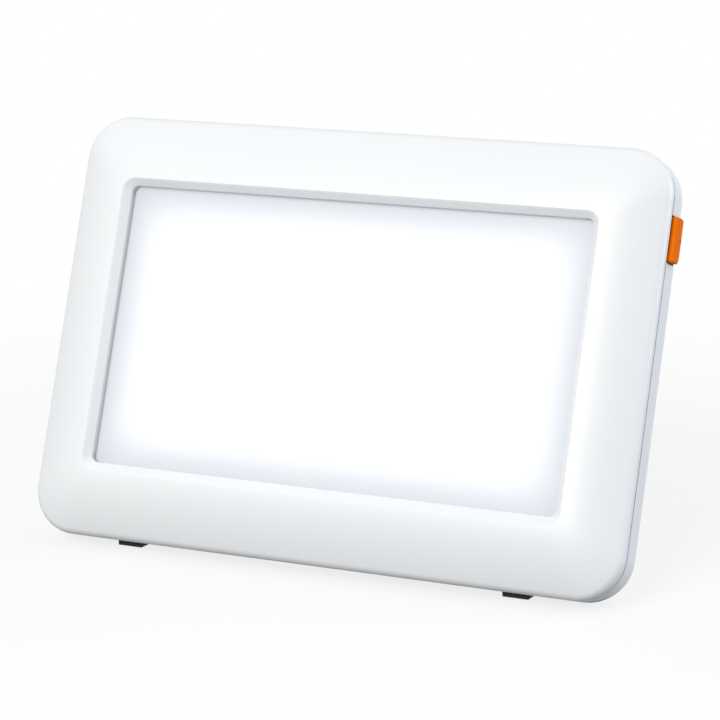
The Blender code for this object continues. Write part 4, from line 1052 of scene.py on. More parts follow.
@dataclass
class FrontFrame:
    """The crowned white frame round the window."""

    case: Case
    crown_steps: int = 16
    edge_steps: int = 8
    crown_start: float = 0.04
    rim_chamfer: float = 0.9 * MM
    rim_steps: int = 4
    mouth_round: tuple[tuple[float, float], ...] = (
        (0.0, 0.25 * MM), (0.03 * MM, 0.1 * MM), (0.12 * MM, -0.1 * MM)
    )
    lip_round: float = 0.2 * MM
    lip_shares: tuple[tuple[float, float], ...] = ((0.2, 0.0), (0.11, 0.1), (0.05, 0.035), (0.0, 0.005))
    inside_shares: tuple[float, ...] = (0.88, 0.74, 0.6, 0.48, 0.35)
    rib_gap: float = 0.5 * MM
    rib_wall: float = 1.4 * MM
    rib_height: float = 3.2 * MM
    boss_radius: float = 3.2 * MM
    boss_bite: float = 0.4 * MM
    ear_boss_radius: float = 2.5 * MM
    ear_inset: float = 31.5 * MM
    ear_rise: float = 8 * MM
    ear_front: float = 10.3 * MM
    ear_screw_radius: float = 1 * MM
    ear_screw_length: float = 4.5 * MM

    def crown(self, share: float) -> float:
        """How far the front has fallen back at a share of the frame's width."""
        return self.case.crown_drop * share**self.case.crown_power

    @property
    def crown_end_angle(self) -> float:
        """How steeply the front falls back where its outer rounding starts."""
        slope = self.case.crown_power * self.case.crown_drop
        return math.atan2(slope, (self.case.body.width - self.case.window.width) / 2)

    @property
    def crown_edge(self) -> Outline:
        """The outline at which the crowned face ends."""
        return self.case.body.inset(self.case.edge_round * (1 - math.sin(self.crown_end_angle)))

    def outer_rings(self) -> list[Ring]:
        """The crowned face, its rounded outer edge and the side down to the rim."""
        case = self.case
        start, crown_edge = self.crown_end_angle, self.crown_edge
        rings = []
        for step in range(self.crown_steps + 1):
            share = self.crown_start + (1 - self.crown_start) * step / self.crown_steps
            rings.append(Ring(case.window.toward(crown_edge, share), self.crown(share)))
        for step in range(1, self.edge_steps + 1):
            angle = start + (RIGHT_ANGLE - start) * step / self.edge_steps
            depth = case.crown_drop + case.edge_round * (math.cos(start) - math.cos(angle))
            rings.append(Ring(case.body.inset(case.edge_round * (1 - math.sin(angle))), depth))
        chamfer = self.rim_chamfer
        rings.append(Ring(case.body, case.frame_rim - chamfer))
        for step in range(1, self.rim_steps + 1):
            angle = RIGHT_ANGLE * step / self.rim_steps
            inset = chamfer * (1 - math.cos(angle))
            rings.append(Ring(case.body.inset(inset), case.frame_rim - chamfer * (1 - math.sin(angle))))
        return rings

    def inner_rings(self) -> list[Ring]:
        """The inside of the side and crown, the rib round the panel and its seat."""
        case = self.case
        inside = case.body.inset(case.wall)
        rib_inner = case.mouth.inset(-case.panel_overlap - self.rib_gap)
        rib_outer = rib_inner.inset(-self.rib_wall)
        corner_depth = case.crown_drop + case.inner_edge_round
        rings = [Ring(inside, case.frame_rim), Ring(inside, corner_depth)]
        for share in self.inside_shares:
            rings.append(Ring(case.window.toward(inside, share), self.crown(share) + case.wall))
        rib_end = case.panel_seat + self.rib_height
        rings += [
            Ring(rib_outer, case.panel_seat - case.bevel_drop),
            Ring(rib_outer, rib_end),
            Ring(rib_inner, rib_end),
            Ring(rib_inner, case.panel_seat),
            Ring(case.mouth, case.panel_seat),
        ]
        return rings

    def bevel_rings(self) -> list[Ring]:
        """The window's bevel, with a fine radius at each of its edges."""
        case = self.case
        rings = [
            Ring(case.mouth.inset(-spread), case.bevel_drop + depth) for spread, depth in self.mouth_round
        ]
        start = self.lip_shares[0][0]
        for share, ease in self.lip_shares:
            outline = case.window.toward(case.mouth, share)
            spread = self.lip_round * (1 - share / start)
            rings.append(Ring(outline.inset(-spread), case.bevel_drop * max(share, ease)))
        return rings

    def ear_places(self) -> list[tuple[float, float]]:
        """Where the reflector tray is screwed on, as X and Z."""
        x = self.case.window.width / 2 - self.ear_inset
        z = self.case.window.height / 2 + self.ear_rise
        return [(sx * x, sz * z) for sx in (-1, 1) for sz in (-1, 1)]

    def root(self, x: float, z: float, radius: float) -> float:
        """The depth inside the crowned wall at which a boss can start."""
        low, high = 0.0, 1.0
        for _ in range(20):
            share = (low + high) / 2
            if self.case.window.toward(self.crown_edge, share).distance(x, z) + radius > 0:
                low = share
            else:
                high = share
        return self.crown(low) + self.boss_bite

    def build(self, finish: bpy.types.Material) -> bpy.types.Object:
        """Builds the frame with its screw bosses.

        Args:
            finish: The shell's material.

        Returns:
            The frame.
        """
        case = self.case
        rings = self.outer_rings() + self.inner_rings() + self.bevel_rings()
        shell = skin("front_frame", rings, closed=True)
        bosses = [
            ((x, self.root(x, z, self.boss_radius), z), (x, case.boss_end, z))
            for x, z in case.screw_places()
        ]
        ears = [
            ((x, self.root(x, z, self.ear_boss_radius), z), (x, self.ear_front - SEAT_GAP, z))
            for x, z in self.ear_places()
        ]
        pilots = case.along_depth(case.screw_seat - case.screw_length, case.boss_end + OVERRUN)
        ear_pilots = [
            ((x, self.ear_front - self.ear_screw_length, z), (x, self.ear_front + OVERRUN, z))
            for x, z in self.ear_places()
        ]
        shell = joined(
            shell,
            (Join.ADD, rods("case_bosses", bosses, self.boss_radius)),
            (Join.ADD, rods("tray_bosses", ears, self.ear_boss_radius)),
            (Join.CUT, rods("case_pilots", pilots, case.screw_radius + SEAT_GAP)),
            (Join.CUT, rods("tray_pilots", ear_pilots, self.ear_screw_radius + SEAT_GAP)),
        )
        return place_piece(
            "front_frame_shell",
            shell,
            finish,
            Body.LAMP,
            stands_for=["front_frame"],
            sharp_degrees=32,
        )


@dataclass
class StandPlan:
    """Where the fold-out stand is hinged, worked out from where the lamp meets the table."""

    case: Case
    angle: float = math.radians(38)
    width: float = 60 * MM
    thickness: float = 4 * MM
    side_gap: float = 0.5 * MM
    floor_gap: float = 0.4 * MM
    sink: float = 0.8 * MM
    hinge_z: float = 12 * MM
    well_drop: float = 3.4 * MM
    well_below: float = 4.5 * MM
    heel_clearance: float = 0.4 * MM
    pocket_wall: float = 1.8 * MM
    axle_radius: float = 1.5 * MM
    pad_height: float = 4.5 * MM
    foot_start: float = 21.2 * MM
    foot_proud: float = 1.9 * MM

    @property
    def hinge_y(self) -> float:
        """The hinge's depth."""
        return self.case.depth - self.sink - self.thickness / 2

    @property
    def pocket_floor(self) -> float:
        """The depth of the pocket that the stand folds into."""
        return self.case.depth - self.sink - self.thickness - self.floor_gap

    @property
    def pocket_half(self) -> float:
        """Half the pocket's width."""
        return self.width / 2 + self.side_gap

    @property
    def well_floor(self) -> float:
        """The depth of the well that the stand's heel turns in."""
        return self.pocket_floor - self.well_drop

    @property
    def heel_length(self) -> float:
        """How far the stand reaches above its hinge."""
        room = self.hinge_y - self.well_floor - self.heel_clearance
        return (room - self.thickness / 2 * math.cos(self.angle)) / math.sin(self.angle)

    @property
    def well_top(self) -> float:
        """The well's upper end."""
        reach = math.hypot(self.heel_length, self.thickness / 2)
        return self.hinge_z + reach + self.heel_clearance

    @property
    def foot_bottom(self) -> float:
        """The Z of the feet's front edge, which touches the table first."""
        return -self.case.side.height / 2 - self.foot_proud

    def reach(self, offset: float = 0.0) -> float:
        """How far the table is from the hinge down the leg, at an offset across it."""
        table = self.foot_bottom * math.cos(LEAN_ANGLE) - self.foot_start * math.sin(LEAN_ANGLE)
        height = self.hinge_z * math.cos(LEAN_ANGLE) - self.hinge_y * math.sin(LEAN_ANGLE) - table
        tilt = self.angle - LEAN_ANGLE
        return (height + offset * math.sin(tilt)) / math.cos(tilt)

    @property
    def leg_end(self) -> float:
        """The length of the leg below its hinge, without its pad."""
        return self.reach() - self.pad_height

    @property
    def place(self) -> Matrix:
        """From the leg's own frame to the table's."""
        hinge = Matrix.Translation((0, self.hinge_y, self.hinge_z))
        return LEAN @ hinge @ Matrix.Rotation(self.angle, 4, "X")


@dataclass
class RearCover:
    """The white cover with the stand's pocket in its back."""

    case: Case
    plan: StandPlan
    button: "PowerButton"
    socket: "PowerSocket"
    feet: "RubberFeet"
    round_steps: int = 10
    flat_inset: float = 1.5 * MM
    rim_edge: float = 0.35 * MM
    rim_edge_middle: float = 0.1 * MM
    tongue_height: float = 2 * MM
    tongue_wall: float = 1.2 * MM
    tongue_root: float = 1 * MM
    tongue_slope: float = 1.5 * MM
    head_boss_wall: float = 1.2 * MM
    post_radius: float = 2.5 * MM
    board_face: float = 24.2 * MM
    board_thickness: float = 1.6 * MM
    small_screw_radius: float = 1 * MM
    small_screw_length: float = 4.5 * MM
    press_post_radius: float = 2 * MM
    press_post_x: float = 80 * MM
    press_post_z: float = 35 * MM
    led_plate_back: float = 19.5 * MM
    control_post_x: float = -112.5 * MM
    control_posts_z: tuple[float, float] = (-47 * MM, 19 * MM)
    switch_post_x: float = 107.5 * MM
    switch_posts_z: tuple[float, float] = (45 * MM, 61 * MM)
    side_gap: float = 0.35 * MM
    socket_lead: float = 0.8 * MM
    screw_lead: float = 0.6 * MM

    def rounding(self, outline: Outline, across: float, along: float, margin: float = 0.0) -> list[Ring]:
        """The rounding between the side and the back.

        Args:
            outline: The outline at the side.
            across: How far the rounding comes in.
            along: How deep it is.
            margin: How far all of it stands in.

        Returns:
            Its rings, from the side to the back.
        """
        rings = []
        for step in range(self.round_steps + 1):
            angle = RIGHT_ANGLE * step / self.round_steps
            inset = margin + across * (1 - math.cos(angle))
            rings.append(Ring(outline.inset(inset), self.case.side_end + along * math.sin(angle)))
        return rings

    def rings(self) -> list[Ring]:
        """From the flat of the back round the rim and along the inside to the back again."""
        case = self.case
        rings = [Ring(case.side.inset(case.back_round + self.flat_inset), case.depth)]
        rings += reversed(self.rounding(case.side, case.back_round, case.back_rise))
        tongue = case.body.inset(case.wall + SEAT_GAP)
        tongue_inner = tongue.inset(self.tongue_wall)
        inside = case.side.inset(case.wall)
        rim = case.cover_rim
        rings += [
            Ring(case.side, rim + self.rim_edge),
            Ring(case.side.inset(self.rim_edge_middle), rim + self.rim_edge_middle),
            Ring(case.side.inset(self.rim_edge), rim),
            Ring(tongue, rim),
            Ring(tongue, rim - self.tongue_height),
            Ring(tongue_inner, rim - self.tongue_height),
            Ring(tongue_inner, rim + self.tongue_root),
            Ring(inside, rim + self.tongue_root + self.tongue_slope),
        ]
        return rings + self.rounding(inside, case.back_round - case.wall, case.back_rise - case.wall)

    def envelope(self) -> bpy.types.Mesh:
        """The cover's outer form as one solid, a hair smaller, to trim its inner walls."""
        case = self.case
        rim = Ring(case.side.inset(SEAT_GAP), case.cover_rim)
        back = self.rounding(case.side, case.back_round, case.back_rise - SEAT_GAP, SEAT_GAP)
        return skin("cover_envelope", [rim, *back], closed=False)

    def pocket_walls(self) -> bpy.types.Mesh:
        """The walls round the stand's pocket and the hinge's well."""
        plan = self.plan
        half = plan.pocket_half + plan.pocket_wall
        far = self.case.body.width
        pocket = (
            (-half, plan.pocket_floor - plan.pocket_wall, -self.case.body.height),
            (half, far, plan.well_top + plan.pocket_wall),
        )
        well_low = plan.hinge_z - plan.well_below - plan.pocket_wall
        well = (
            (-half - SEAT_GAP, plan.well_floor - plan.pocket_wall, well_low),
            (half + SEAT_GAP, far, plan.well_top + plan.pocket_wall + SEAT_GAP),
        )
        return joined(
            boxes("pocket_walls", [pocket]),
            (Join.ADD, boxes("well_walls", [well])),
            (Join.KEEP_COMMON, self.envelope()),
        )

    def board_post_places(self) -> list[tuple[float, float]]:
        """Where the posts hold the two circuit boards, as X and Z."""
        places = [(self.control_post_x, z) for z in self.control_posts_z]
        return places + [(self.switch_post_x, z) for z in self.switch_posts_z]

    def additions(self) -> list[tuple[Join, bpy.types.Mesh]]:
        """The walls, bosses and posts inside the cover."""
        case = self.case
        root = case.depth - case.wall / 2
        boss_radius = case.screw_head_radius + SEAT_GAP + self.head_boss_wall
        board_back = self.board_face + self.board_thickness + SEAT_GAP
        posts = [((x, board_back, z), (x, root, z)) for x, z in self.board_post_places()]
        press = [
            (
                (sx * self.press_post_x, self.led_plate_back + SEAT_GAP, sz * self.press_post_z),
                (sx * self.press_post_x, root, sz * self.press_post_z),
            )
            for sx in (-1, 1)
            for sz in (-1, 1)
        ]
        screws = case.along_depth(case.boss_end + SEAT_GAP, root)
        return [
            (Join.ADD, self.pocket_walls()),
            (Join.ADD, rods("cover_case_bosses", screws, boss_radius)),
            (Join.ADD, rods("cover_board_posts", posts, self.post_radius)),
            (Join.ADD, rods("cover_press_posts", press, self.press_post_radius)),
        ]

    def stand_cuts(self) -> list[tuple[Join, bpy.types.Mesh]]:
        """The stand's pocket, its well and the holes for its axle."""
        plan = self.plan
        outside = self.case.depth + OVERRUN
        half = plan.pocket_half
        pocket = ((-half, plan.pocket_floor, -self.case.body.height), (half, outside, plan.well_top))
        well = (
            (SEAT_GAP - half, plan.well_floor, plan.hinge_z - plan.well_below),
            (half - SEAT_GAP, outside + SEAT_GAP, plan.well_top - SEAT_GAP / 2),
        )
        axle_half = half + plan.pocket_wall + OVERRUN
        axle = ((-axle_half, plan.hinge_y, plan.hinge_z), (axle_half, plan.hinge_y, plan.hinge_z))
        return [
            (Join.CUT, boxes("pocket_cut", [pocket])),
            (Join.CUT, boxes("well_cut", [well])),
            (Join.CUT, rods("axle_holes", [axle], plan.axle_radius + RUNNING_GAP)),
        ]

    def side_cuts(self) -> list[tuple[Join, bpy.types.Mesh]]:
        """The button's notch, the socket's hole and the feet's recesses."""
        case, button, feet = self.case, self.button, self.feet
        edge = case.body.width / 2
        half = button.length / 2 + self.side_gap
        notch_end = button.y + button.depth / 2 + self.side_gap
        notch = (
            (button.flange_x - OVERRUN, 0, button.z - half), (edge + OVERRUN, notch_end, button.z + half)
        )
        y, z = self.socket.y, self.socket.z
        hole = ((-edge - OVERRUN, y, z), (-edge + 2 * OVERRUN, y, z))
        hole_radius = self.socket.nose_radius + self.side_gap
        lead = self.socket_lead
        lead_in = ((-edge - lead, y, z), (-edge + lead, y, z))
        foot_start, foot_end = self.plan.foot_start, self.plan.foot_start + feet.depth
        foot_top = feet.recess - case.side.height / 2
        foot_half = feet.length / 2 + SEAT_GAP
        recesses = [
            (
                (middle - foot_half, foot_start - SEAT_GAP, -case.body.height),
                (middle + foot_half, foot_end + SEAT_GAP, foot_top),
            )
            for _, middle in feet.places
        ]
        stem_y = foot_start + feet.stem_setback
        stem_top = case.wall + OVERRUN - case.side.height / 2
        stems = [
            ((middle, stem_y, -case.body.height), (middle, stem_y, stem_top)) for _, middle in feet.places
        ]
        return [
            (Join.CUT, boxes("button_notch", [notch])),
            (Join.CUT, rods("socket_hole", [hole], hole_radius)),
            (Join.CUT, rods("socket_lead_in", [lead_in], hole_radius + lead, hole_radius - lead)),
            (Join.CUT, boxes("foot_recesses", recesses)),
            (Join.CUT, rods("stem_holes", stems, feet.stem_radius + SEAT_GAP)),
        ]

    def screw_cuts(self) -> list[tuple[Join, bpy.types.Mesh]]:
        """The holes for the case screws, with a lead-in, and for the boards' screws."""
        case = self.case
        outside = case.depth + OVERRUN
        head_radius = case.screw_head_radius + SEAT_GAP
        lead = self.screw_lead
        lead_ins = case.along_depth(case.depth - lead, case.depth + lead)
        pilots = [
            ((x, self.board_face, z), (x, self.board_face + self.small_screw_length, z))
            for x, z in self.board_post_places()
        ]
        return [
            (Join.CUT, rods("head_holes", case.along_depth(case.screw_seat, outside), head_radius)),
            (Join.CUT, rods("head_lead_ins", lead_ins, head_radius - lead / 2, head_radius + 1.5 * lead)),
            (Join.CUT, rods("shank_holes", case.along_depth(0, outside), case.screw_radius + SEAT_GAP)),
            (Join.CUT, rods("post_pilots", pilots, self.small_screw_radius + SEAT_GAP)),
        ]

    def build(self, finish: bpy.types.Material) -> bpy.types.Object:
        """Builds the cover.

        Args:
            finish: The shell's material.

        Returns:
            The cover.
        """
        shell = skin("rear_cover", self.rings(), closed=False)
        steps = self.additions() + self.stand_cuts() + self.side_cuts() + self.screw_cuts()
        return place_piece(
            "rear_cover_shell",
            joined(shell, *steps),
            finish,
            Body.LAMP,
            stands_for=["rear_cover"],
            sharp_degrees=25,
        )


@dataclass
class CaseScrews:
    """The cross-head screws that hold the shells together."""

    case: Case
    tip_share: float = 0.5
    rim_share: float = 0.45
    dome_steps: int = 6
    turn_between: float = 0.7
    cross_width: float = 0.8 * MM
    cross_reach: float = 1.9 * MM
    cross_depth: float = 1 * MM
    thread_pitch: float = 1.1 * MM
    thread_depth: float = 0.3 * MM

    def profile(self) -> list[tuple[float, float]]:
        """Half the screw's section, with a domed head and a thread of separate ridges."""
        case = self.case
        radius, length, head = case.screw_radius, case.screw_length, case.screw_head_height
        points = [(0.0, length), (radius * self.tip_share, length), (radius, length - radius)]
        turns = int((length - 2 * radius) / self.thread_pitch)
        for turn in range(turns):
            crest = length - radius - turn * self.thread_pitch
            points.append((radius - self.thread_depth, crest - self.thread_pitch / 2))
            points.append((radius, crest - self.thread_pitch))
        points += [(radius, 0.0), (case.screw_head_radius, 0.0)]
        for step in range(self.dome_steps + 1):
            angle = RIGHT_ANGLE * step / self.dome_steps
            across = case.screw_head_radius * math.cos(angle)
            points.append((across, -head * (self.rim_share + (1 - self.rim_share) * math.sin(angle))))
        points[-1] = (0.0, -head)
        return points

    def build(self, finish: bpy.types.Material) -> None:
        """Builds the six screws, their heads towards the back.

        Args:
            finish: The screws' material.
        """
        head = self.case.screw_head_height
        depth = (-head - OVERRUN, self.cross_depth - head)
        half = self.cross_width / 2
        slots = [
            ((-self.cross_reach, depth[0], -half), (self.cross_reach, depth[1], half)),
            ((-half, depth[0], -self.cross_reach), (half, depth[1], self.cross_reach)),
        ]
        screw = joined(
            turned("case_screw", self.profile()),
            (Join.CUT, boxes("cross_slot_flat", slots[:1])),
            (Join.CUT, boxes("cross_slot_upright", slots[1:])),
        )
        for number, (x, z) in enumerate(self.case.screw_places(), 1):
            spot = Matrix.Translation((x, self.case.screw_seat + SEAT_GAP, z))
            turn = Matrix.Rotation(math.pi, 4, "X")
            turn = turn @ Matrix.Rotation(self.turn_between * number, 4, "Y")
            place_piece(
                f"case_screw_{number}_turned",
                screw.copy(),
                finish,
                Body.LAMP,
                LEAN @ spot @ turn,
                [f"case_screw_{number}"],
            )


# ---------------------------------------------------------------- feet and stand


@dataclass
class RubberFeet:
    """Two wedge-shaped rubber feet, cut level with the table."""

    case: Case
    plan: StandPlan
    places: tuple[tuple[str, float], ...] = (("left", -84.9 * MM), ("right", 80.9 * MM))
    length: float = 11.6 * MM
    taper: float = 0.5 * MM
    depth: float = 5.2 * MM
    recess: float = 0.9 * MM
    edge: float = 0.85 * MM
    edge_steps: int = 4
    stem_setback: float = 1.9 * MM
    stem_radius: float = 1.3 * MM
    barb_radius: float = 2.1 * MM
    barb_height: float = 1.2 * MM
    barb_gap: float = 0.6 * MM

    def wedge(self, middle: float) -> bpy.types.Mesh:
        """The foot's own block, tapered, cut level and with soft edges.

        Args:
            middle: The foot's place along X.

        Returns:
            The block's mesh.
        """
        plan, case = self.plan, self.case
        bottom, top = plan.foot_bottom, self.recess - case.side.height / 2 - SEAT_GAP
        start = plan.foot_start
        builder = bmesh.new()
        low = (middle - self.length / 2, start, bottom)
        high = (middle + self.length / 2, start + self.depth, top)
        builder.from_mesh(boxes("foot", [(low, high)]))
        for corner in builder.verts:
            if corner.co.z < (bottom + top) / 2:
                corner.co.x -= math.copysign(self.taper, corner.co.x - middle)
        slice_off(builder, (0, start, bottom), (0, math.sin(LEAN_ANGLE), -math.cos(LEAN_ANGLE)))
        bmesh.ops.remove_doubles(builder, verts=builder.verts, dist=MERGE_REACH)
        round_off(builder, builder.edges[:], self.edge, self.edge_steps, clamp=True)
        return closed_mesh(builder, "foot")

    def build(self, finish: bpy.types.Material) -> None:
        """Builds both feet with the barbed stems that hold them.

        Args:
            finish: The rubber's material.
        """
        inner_wall = self.case.wall - self.case.side.height / 2
        barb_low = inner_wall + self.barb_gap
        barb_high = barb_low + self.barb_height
        y = self.plan.foot_start + self.stem_setback
        for side, middle in self.places:
            inside_foot = -self.case.side.height / 2 - SEAT_GAP
            stem = ((middle, y, inside_foot), (middle, y, (barb_low + barb_high) / 2))
            barb = ((middle, y, barb_low), (middle, y, barb_high))
            foot = joined(
                self.wedge(middle),
                (Join.ADD, rods("foot_stem", [stem], self.stem_radius)),
                (Join.ADD, rods("foot_barb", [barb], self.barb_radius, self.stem_radius)),
            )
            place_piece(
                f"rubber_foot_{side}", foot, finish, Body.LAMP, stands_for=[f"foot_{side}"]
            )


@dataclass
class Kickstand:
    """The fold-out leg with its rubber pad."""

    plan: StandPlan
    edge: float = 0.8 * MM
    barrel_radius: float = 2.4 * MM
    panel_margin: float = 6 * MM
    panel_depth: float = 0.8 * MM
    panel_corner: float = 0.6 * MM
    panel_steps: int = 3
    pad_edge: float = 0.4 * MM
    pad_inset: float = 3 * MM
    tongue_height: float = 3 * MM
    tongue_wall: float = 1.4 * MM
    rib_pitch: float = 2.4 * MM
    rib_depth: float = 0.35 * MM

    def leg(self) -> bpy.types.Mesh:
        """The leg's plate with its barrel, its sunk panel and the groove for the pad."""
        plan = self.plan
        half, wall = plan.width / 2, plan.thickness / 2
        plate = rounded_box(
            "kickstand", (-half, -wall, -plan.leg_end), (half, wall, plan.heel_length), self.edge
        )
        barrel_half = half - self.edge - SEAT_GAP
        barrel = [((-barrel_half, 0, 0), (barrel_half, 0, 0))]
        bore = [((-2 * half, 0, 0), (2 * half, 0, 0))]
        panel_low = self.tongue_height + self.panel_margin - plan.leg_end
        panel = rounded_box(
            "stand_panel",
            (self.panel_margin - half, wall - self.panel_depth, panel_low),
            (half - self.panel_margin, wall + OVERRUN, -self.barrel_radius - self.panel_margin),
            self.panel_corner,
            self.panel_steps,
        )
        groove_half = half - self.pad_inset + SEAT_GAP
        groove_wall = self.tongue_wall / 2 + SEAT_GAP
        groove = (
            (-groove_half, -groove_wall, -plan.leg_end - OVERRUN),
            (groove_half, groove_wall, self.tongue_height - plan.leg_end),
        )
        return joined(
            plate,
            (Join.ADD, rods("barrel", barrel, self.barrel_radius)),
            (Join.CUT, rods("barrel_bore", bore, plan.axle_radius + RUNNING_GAP)),
            (Join.CUT, panel),
            (Join.CUT, boxes("pad_groove", [groove])),
        )

    def pad(self) -> bpy.types.Mesh:
        """The rubber pad, cut level with the table, with a tongue that sits in the leg."""
        plan = self.plan
        half, wall = plan.width / 2 - self.pad_inset, plan.thickness / 2
        top = -plan.leg_end - SEAT_GAP
        block = rounded_box(
            "kickstand_pad", (-half, -wall, -plan.reach(wall) - OVERRUN), (half, wall, top), self.pad_edge
        )
        tilt = plan.angle - LEAN_ANGLE
        builder = bmesh.new()
        builder.from_mesh(block)
        slice_off(builder, (0, 0, -plan.reach()), (0, -math.sin(tilt), -math.cos(tilt)))
        tongue = (
            (-half, -self.tongue_wall / 2, top - WELD),
            (half, self.tongue_wall / 2, top + self.tongue_height),
        )
        ribs = []
        count = int(2 * half / self.rib_pitch)
        for index in range(count):
            x = (index - (count - 1) / 2) * self.rib_pitch
            low = (x - self.rib_depth, -wall - OVERRUN, -plan.reach() - OVERRUN)
            ribs.append((low, (x + self.rib_depth, wall + OVERRUN, -plan.reach() + self.rib_depth)))
        return joined(
            closed_mesh(builder, "kickstand_pad"),
            (Join.ADD, boxes("pad_tongue", [tongue])),
            (Join.CUT, boxes("pad_ribs", ribs)),
        )

    def build(self, shell: bpy.types.Material, rubber: bpy.types.Material) -> None:
        """Builds the leg and its pad on the hinge.

        Args:
            shell: The leg's material.
            rubber: The pad's material.
        """
        place = self.plan.place
        place_piece("stand_leg", self.leg(), shell, Body.STAND, place, ["kickstand"])
        place_piece(
            "stand_leg_pad", self.pad(), rubber, Body.STAND, place, ["kickstand_pad"]
        )


# ---------------------------------------------------------------- button and socket


@dataclass
class PowerButton:
    """The orange push button, with a ridge along its face and a raised power mark."""

    case: Case
    y: float = 18.6 * MM
    z: float = 53 * MM
    length: float = 17.4 * MM
    depth: float = 7.8 * MM
    proud: float = 2.6 * MM
    edge: float = 0.6 * MM
    ridge: float = 3.4 * MM
    front_fall: float = 1 * MM
    rear_fall: float = 0.4 * MM
    corners: tuple[float, float, float, float] = (1.2 * MM, 0.9 * MM, 0.9 * MM, 3 * MM)
    corner_steps: int = 8
    edge_steps: int = 5
    flange: float = 1.1 * MM
    flange_wall: float = 1.4 * MM
    flange_x: float = 122.3 * MM
    flange_front: float = 17.2 * MM
    boss_radius: float = 2 * MM
    boss_end: float = 118.5 * MM
    mark_radius: float = 1.2 * MM
    mark_line: float = 0.36 * MM
    mark_rise: float = 0.08 * MM
    mark_share: float = 0.52
    mark_gap: float = math.radians(38)
    mark_steps: int = 36
    bar_start: float = 0.1 * MM

    @property
    def outer(self) -> float:
        """The X of the button's ridge."""
        return self.case.side.width / 2 + self.proud

    def cap(self) -> bpy.types.Mesh:
        """The visible cap, made from a block whose corners are rounded one by one."""
        builder = bmesh.new()
        low = (self.flange_x - WELD, -self.depth / 2, -self.length / 2)
        high = (self.outer, self.depth / 2, self.length / 2)
        builder.from_mesh(boxes("power_button", [(low, high)]))
        signs = ((1, 1), (-1, 1), (-1, -1), (1, -1))
        for (back, up), radius in zip(signs, self.corners):
            corner = Vector((0, back * self.depth / 2, up * self.length / 2))
            edges = [
                edge
                for edge in builder.edges
                if all((Vector((0, *end.co.yz)) - corner).length < MERGE_REACH for end in edge.verts)
            ]
            round_off(builder, edges, radius, self.corner_steps)
        ridge = self.ridge - self.depth / 2
        bmesh.ops.bisect_plane(
            builder,
            geom=builder.verts[:] + builder.edges[:] + builder.faces[:],
            plane_co=(0, ridge, 0),
            plane_no=(0, 1, 0),
        )
        face_edges = []
        for vertex in builder.verts:
            if vertex.co.x > self.outer - self.edge:
                across = vertex.co.y - ridge
                if across > 0:
                    vertex.co.x -= self.rear_fall * across / (self.depth - self.ridge)
                else:
                    vertex.co.x += self.front_fall * across / self.ridge
        builder.normal_update()
        for edge in builder.edges:
            outward = [face.normal.x > 0.5 for face in edge.link_faces]
            if any(outward) and not all(outward):
                face_edges.append(edge)
        round_off(builder, face_edges, self.edge, self.edge_steps, clamp=True)
        return closed_mesh(builder, "power_button")

    def body(self) -> bpy.types.Mesh:
        """The cap with the flange that keeps it in and the boss that meets the switch."""
        half_length = self.length / 2 + self.flange
        flange = (
            (self.flange_x - self.flange_wall, self.flange_front - self.y, -half_length),
            (self.flange_x, self.depth / 2 + self.flange, half_length),
        )
        boss = ((self.boss_end, 0, 0), (self.flange_x - WELD, 0, 0))
        return joined(
            self.cap(),
            (Join.ADD, boxes("button_flange", [flange])),
            (Join.ADD, rods("button_boss", [boss], self.boss_radius)),
        )

    def mark(self) -> bpy.types.Mesh:
        """The raised power mark: a ring that is open at the top, and a bar in the gap."""
        builder = bmesh.new()
        line, rise = self.mark_line / 2, self.mark_rise
        section = [
            (-rise, self.mark_radius - line),
            (rise, self.mark_radius - line),
            (rise, self.mark_radius + line),
            (-rise, self.mark_radius + line),
        ]
        corners = [builder.verts.new((x, 0, z)) for x, z in section]
        start = builder.faces.new(corners)
        bmesh.ops.rotate(
            builder, verts=corners, cent=(0, 0, 0), matrix=Matrix.Rotation(self.mark_gap, 3, "X")
        )
        bmesh.ops.spin(
            builder,
            geom=[start],
            cent=(0, 0, 0),
            axis=(1, 0, 0),
            angle=2 * (math.pi - self.mark_gap),
            steps=self.mark_steps,
        )
        ring = closed_mesh(builder, "power_mark")
        bar = ((-rise, -line, self.bar_start), (rise, line, self.mark_radius + 2 * line))
        ring = joined(ring, (Join.ADD, boxes("power_bar", [bar])))
        across = self.depth - self.ridge
        middle = self.ridge - self.depth / 2 + across * self.mark_share
        x = self.outer - self.rear_fall * self.mark_share
        tilt = Matrix.Rotation(math.atan2(self.rear_fall, across), 4, "Z")
        ring.transform(Matrix.Translation((x, middle, 0)) @ tilt)
        return ring

    def build(self, finish: bpy.types.Material) -> bpy.types.Object:
        """Builds the button, with its mark in one piece with it.

        Args:
            finish: The button's material.

        Returns:
            The button.
        """
        button = joined(self.body(), (Join.ADD, self.mark()))
        place = LEAN @ Matrix.Translation((0, self.y, self.z))
        return place_piece(
            "push_button",
            button,
            finish,
            Body.BUTTON,
            place,
            ["power_button"],
            sharp_degrees=28,
        )


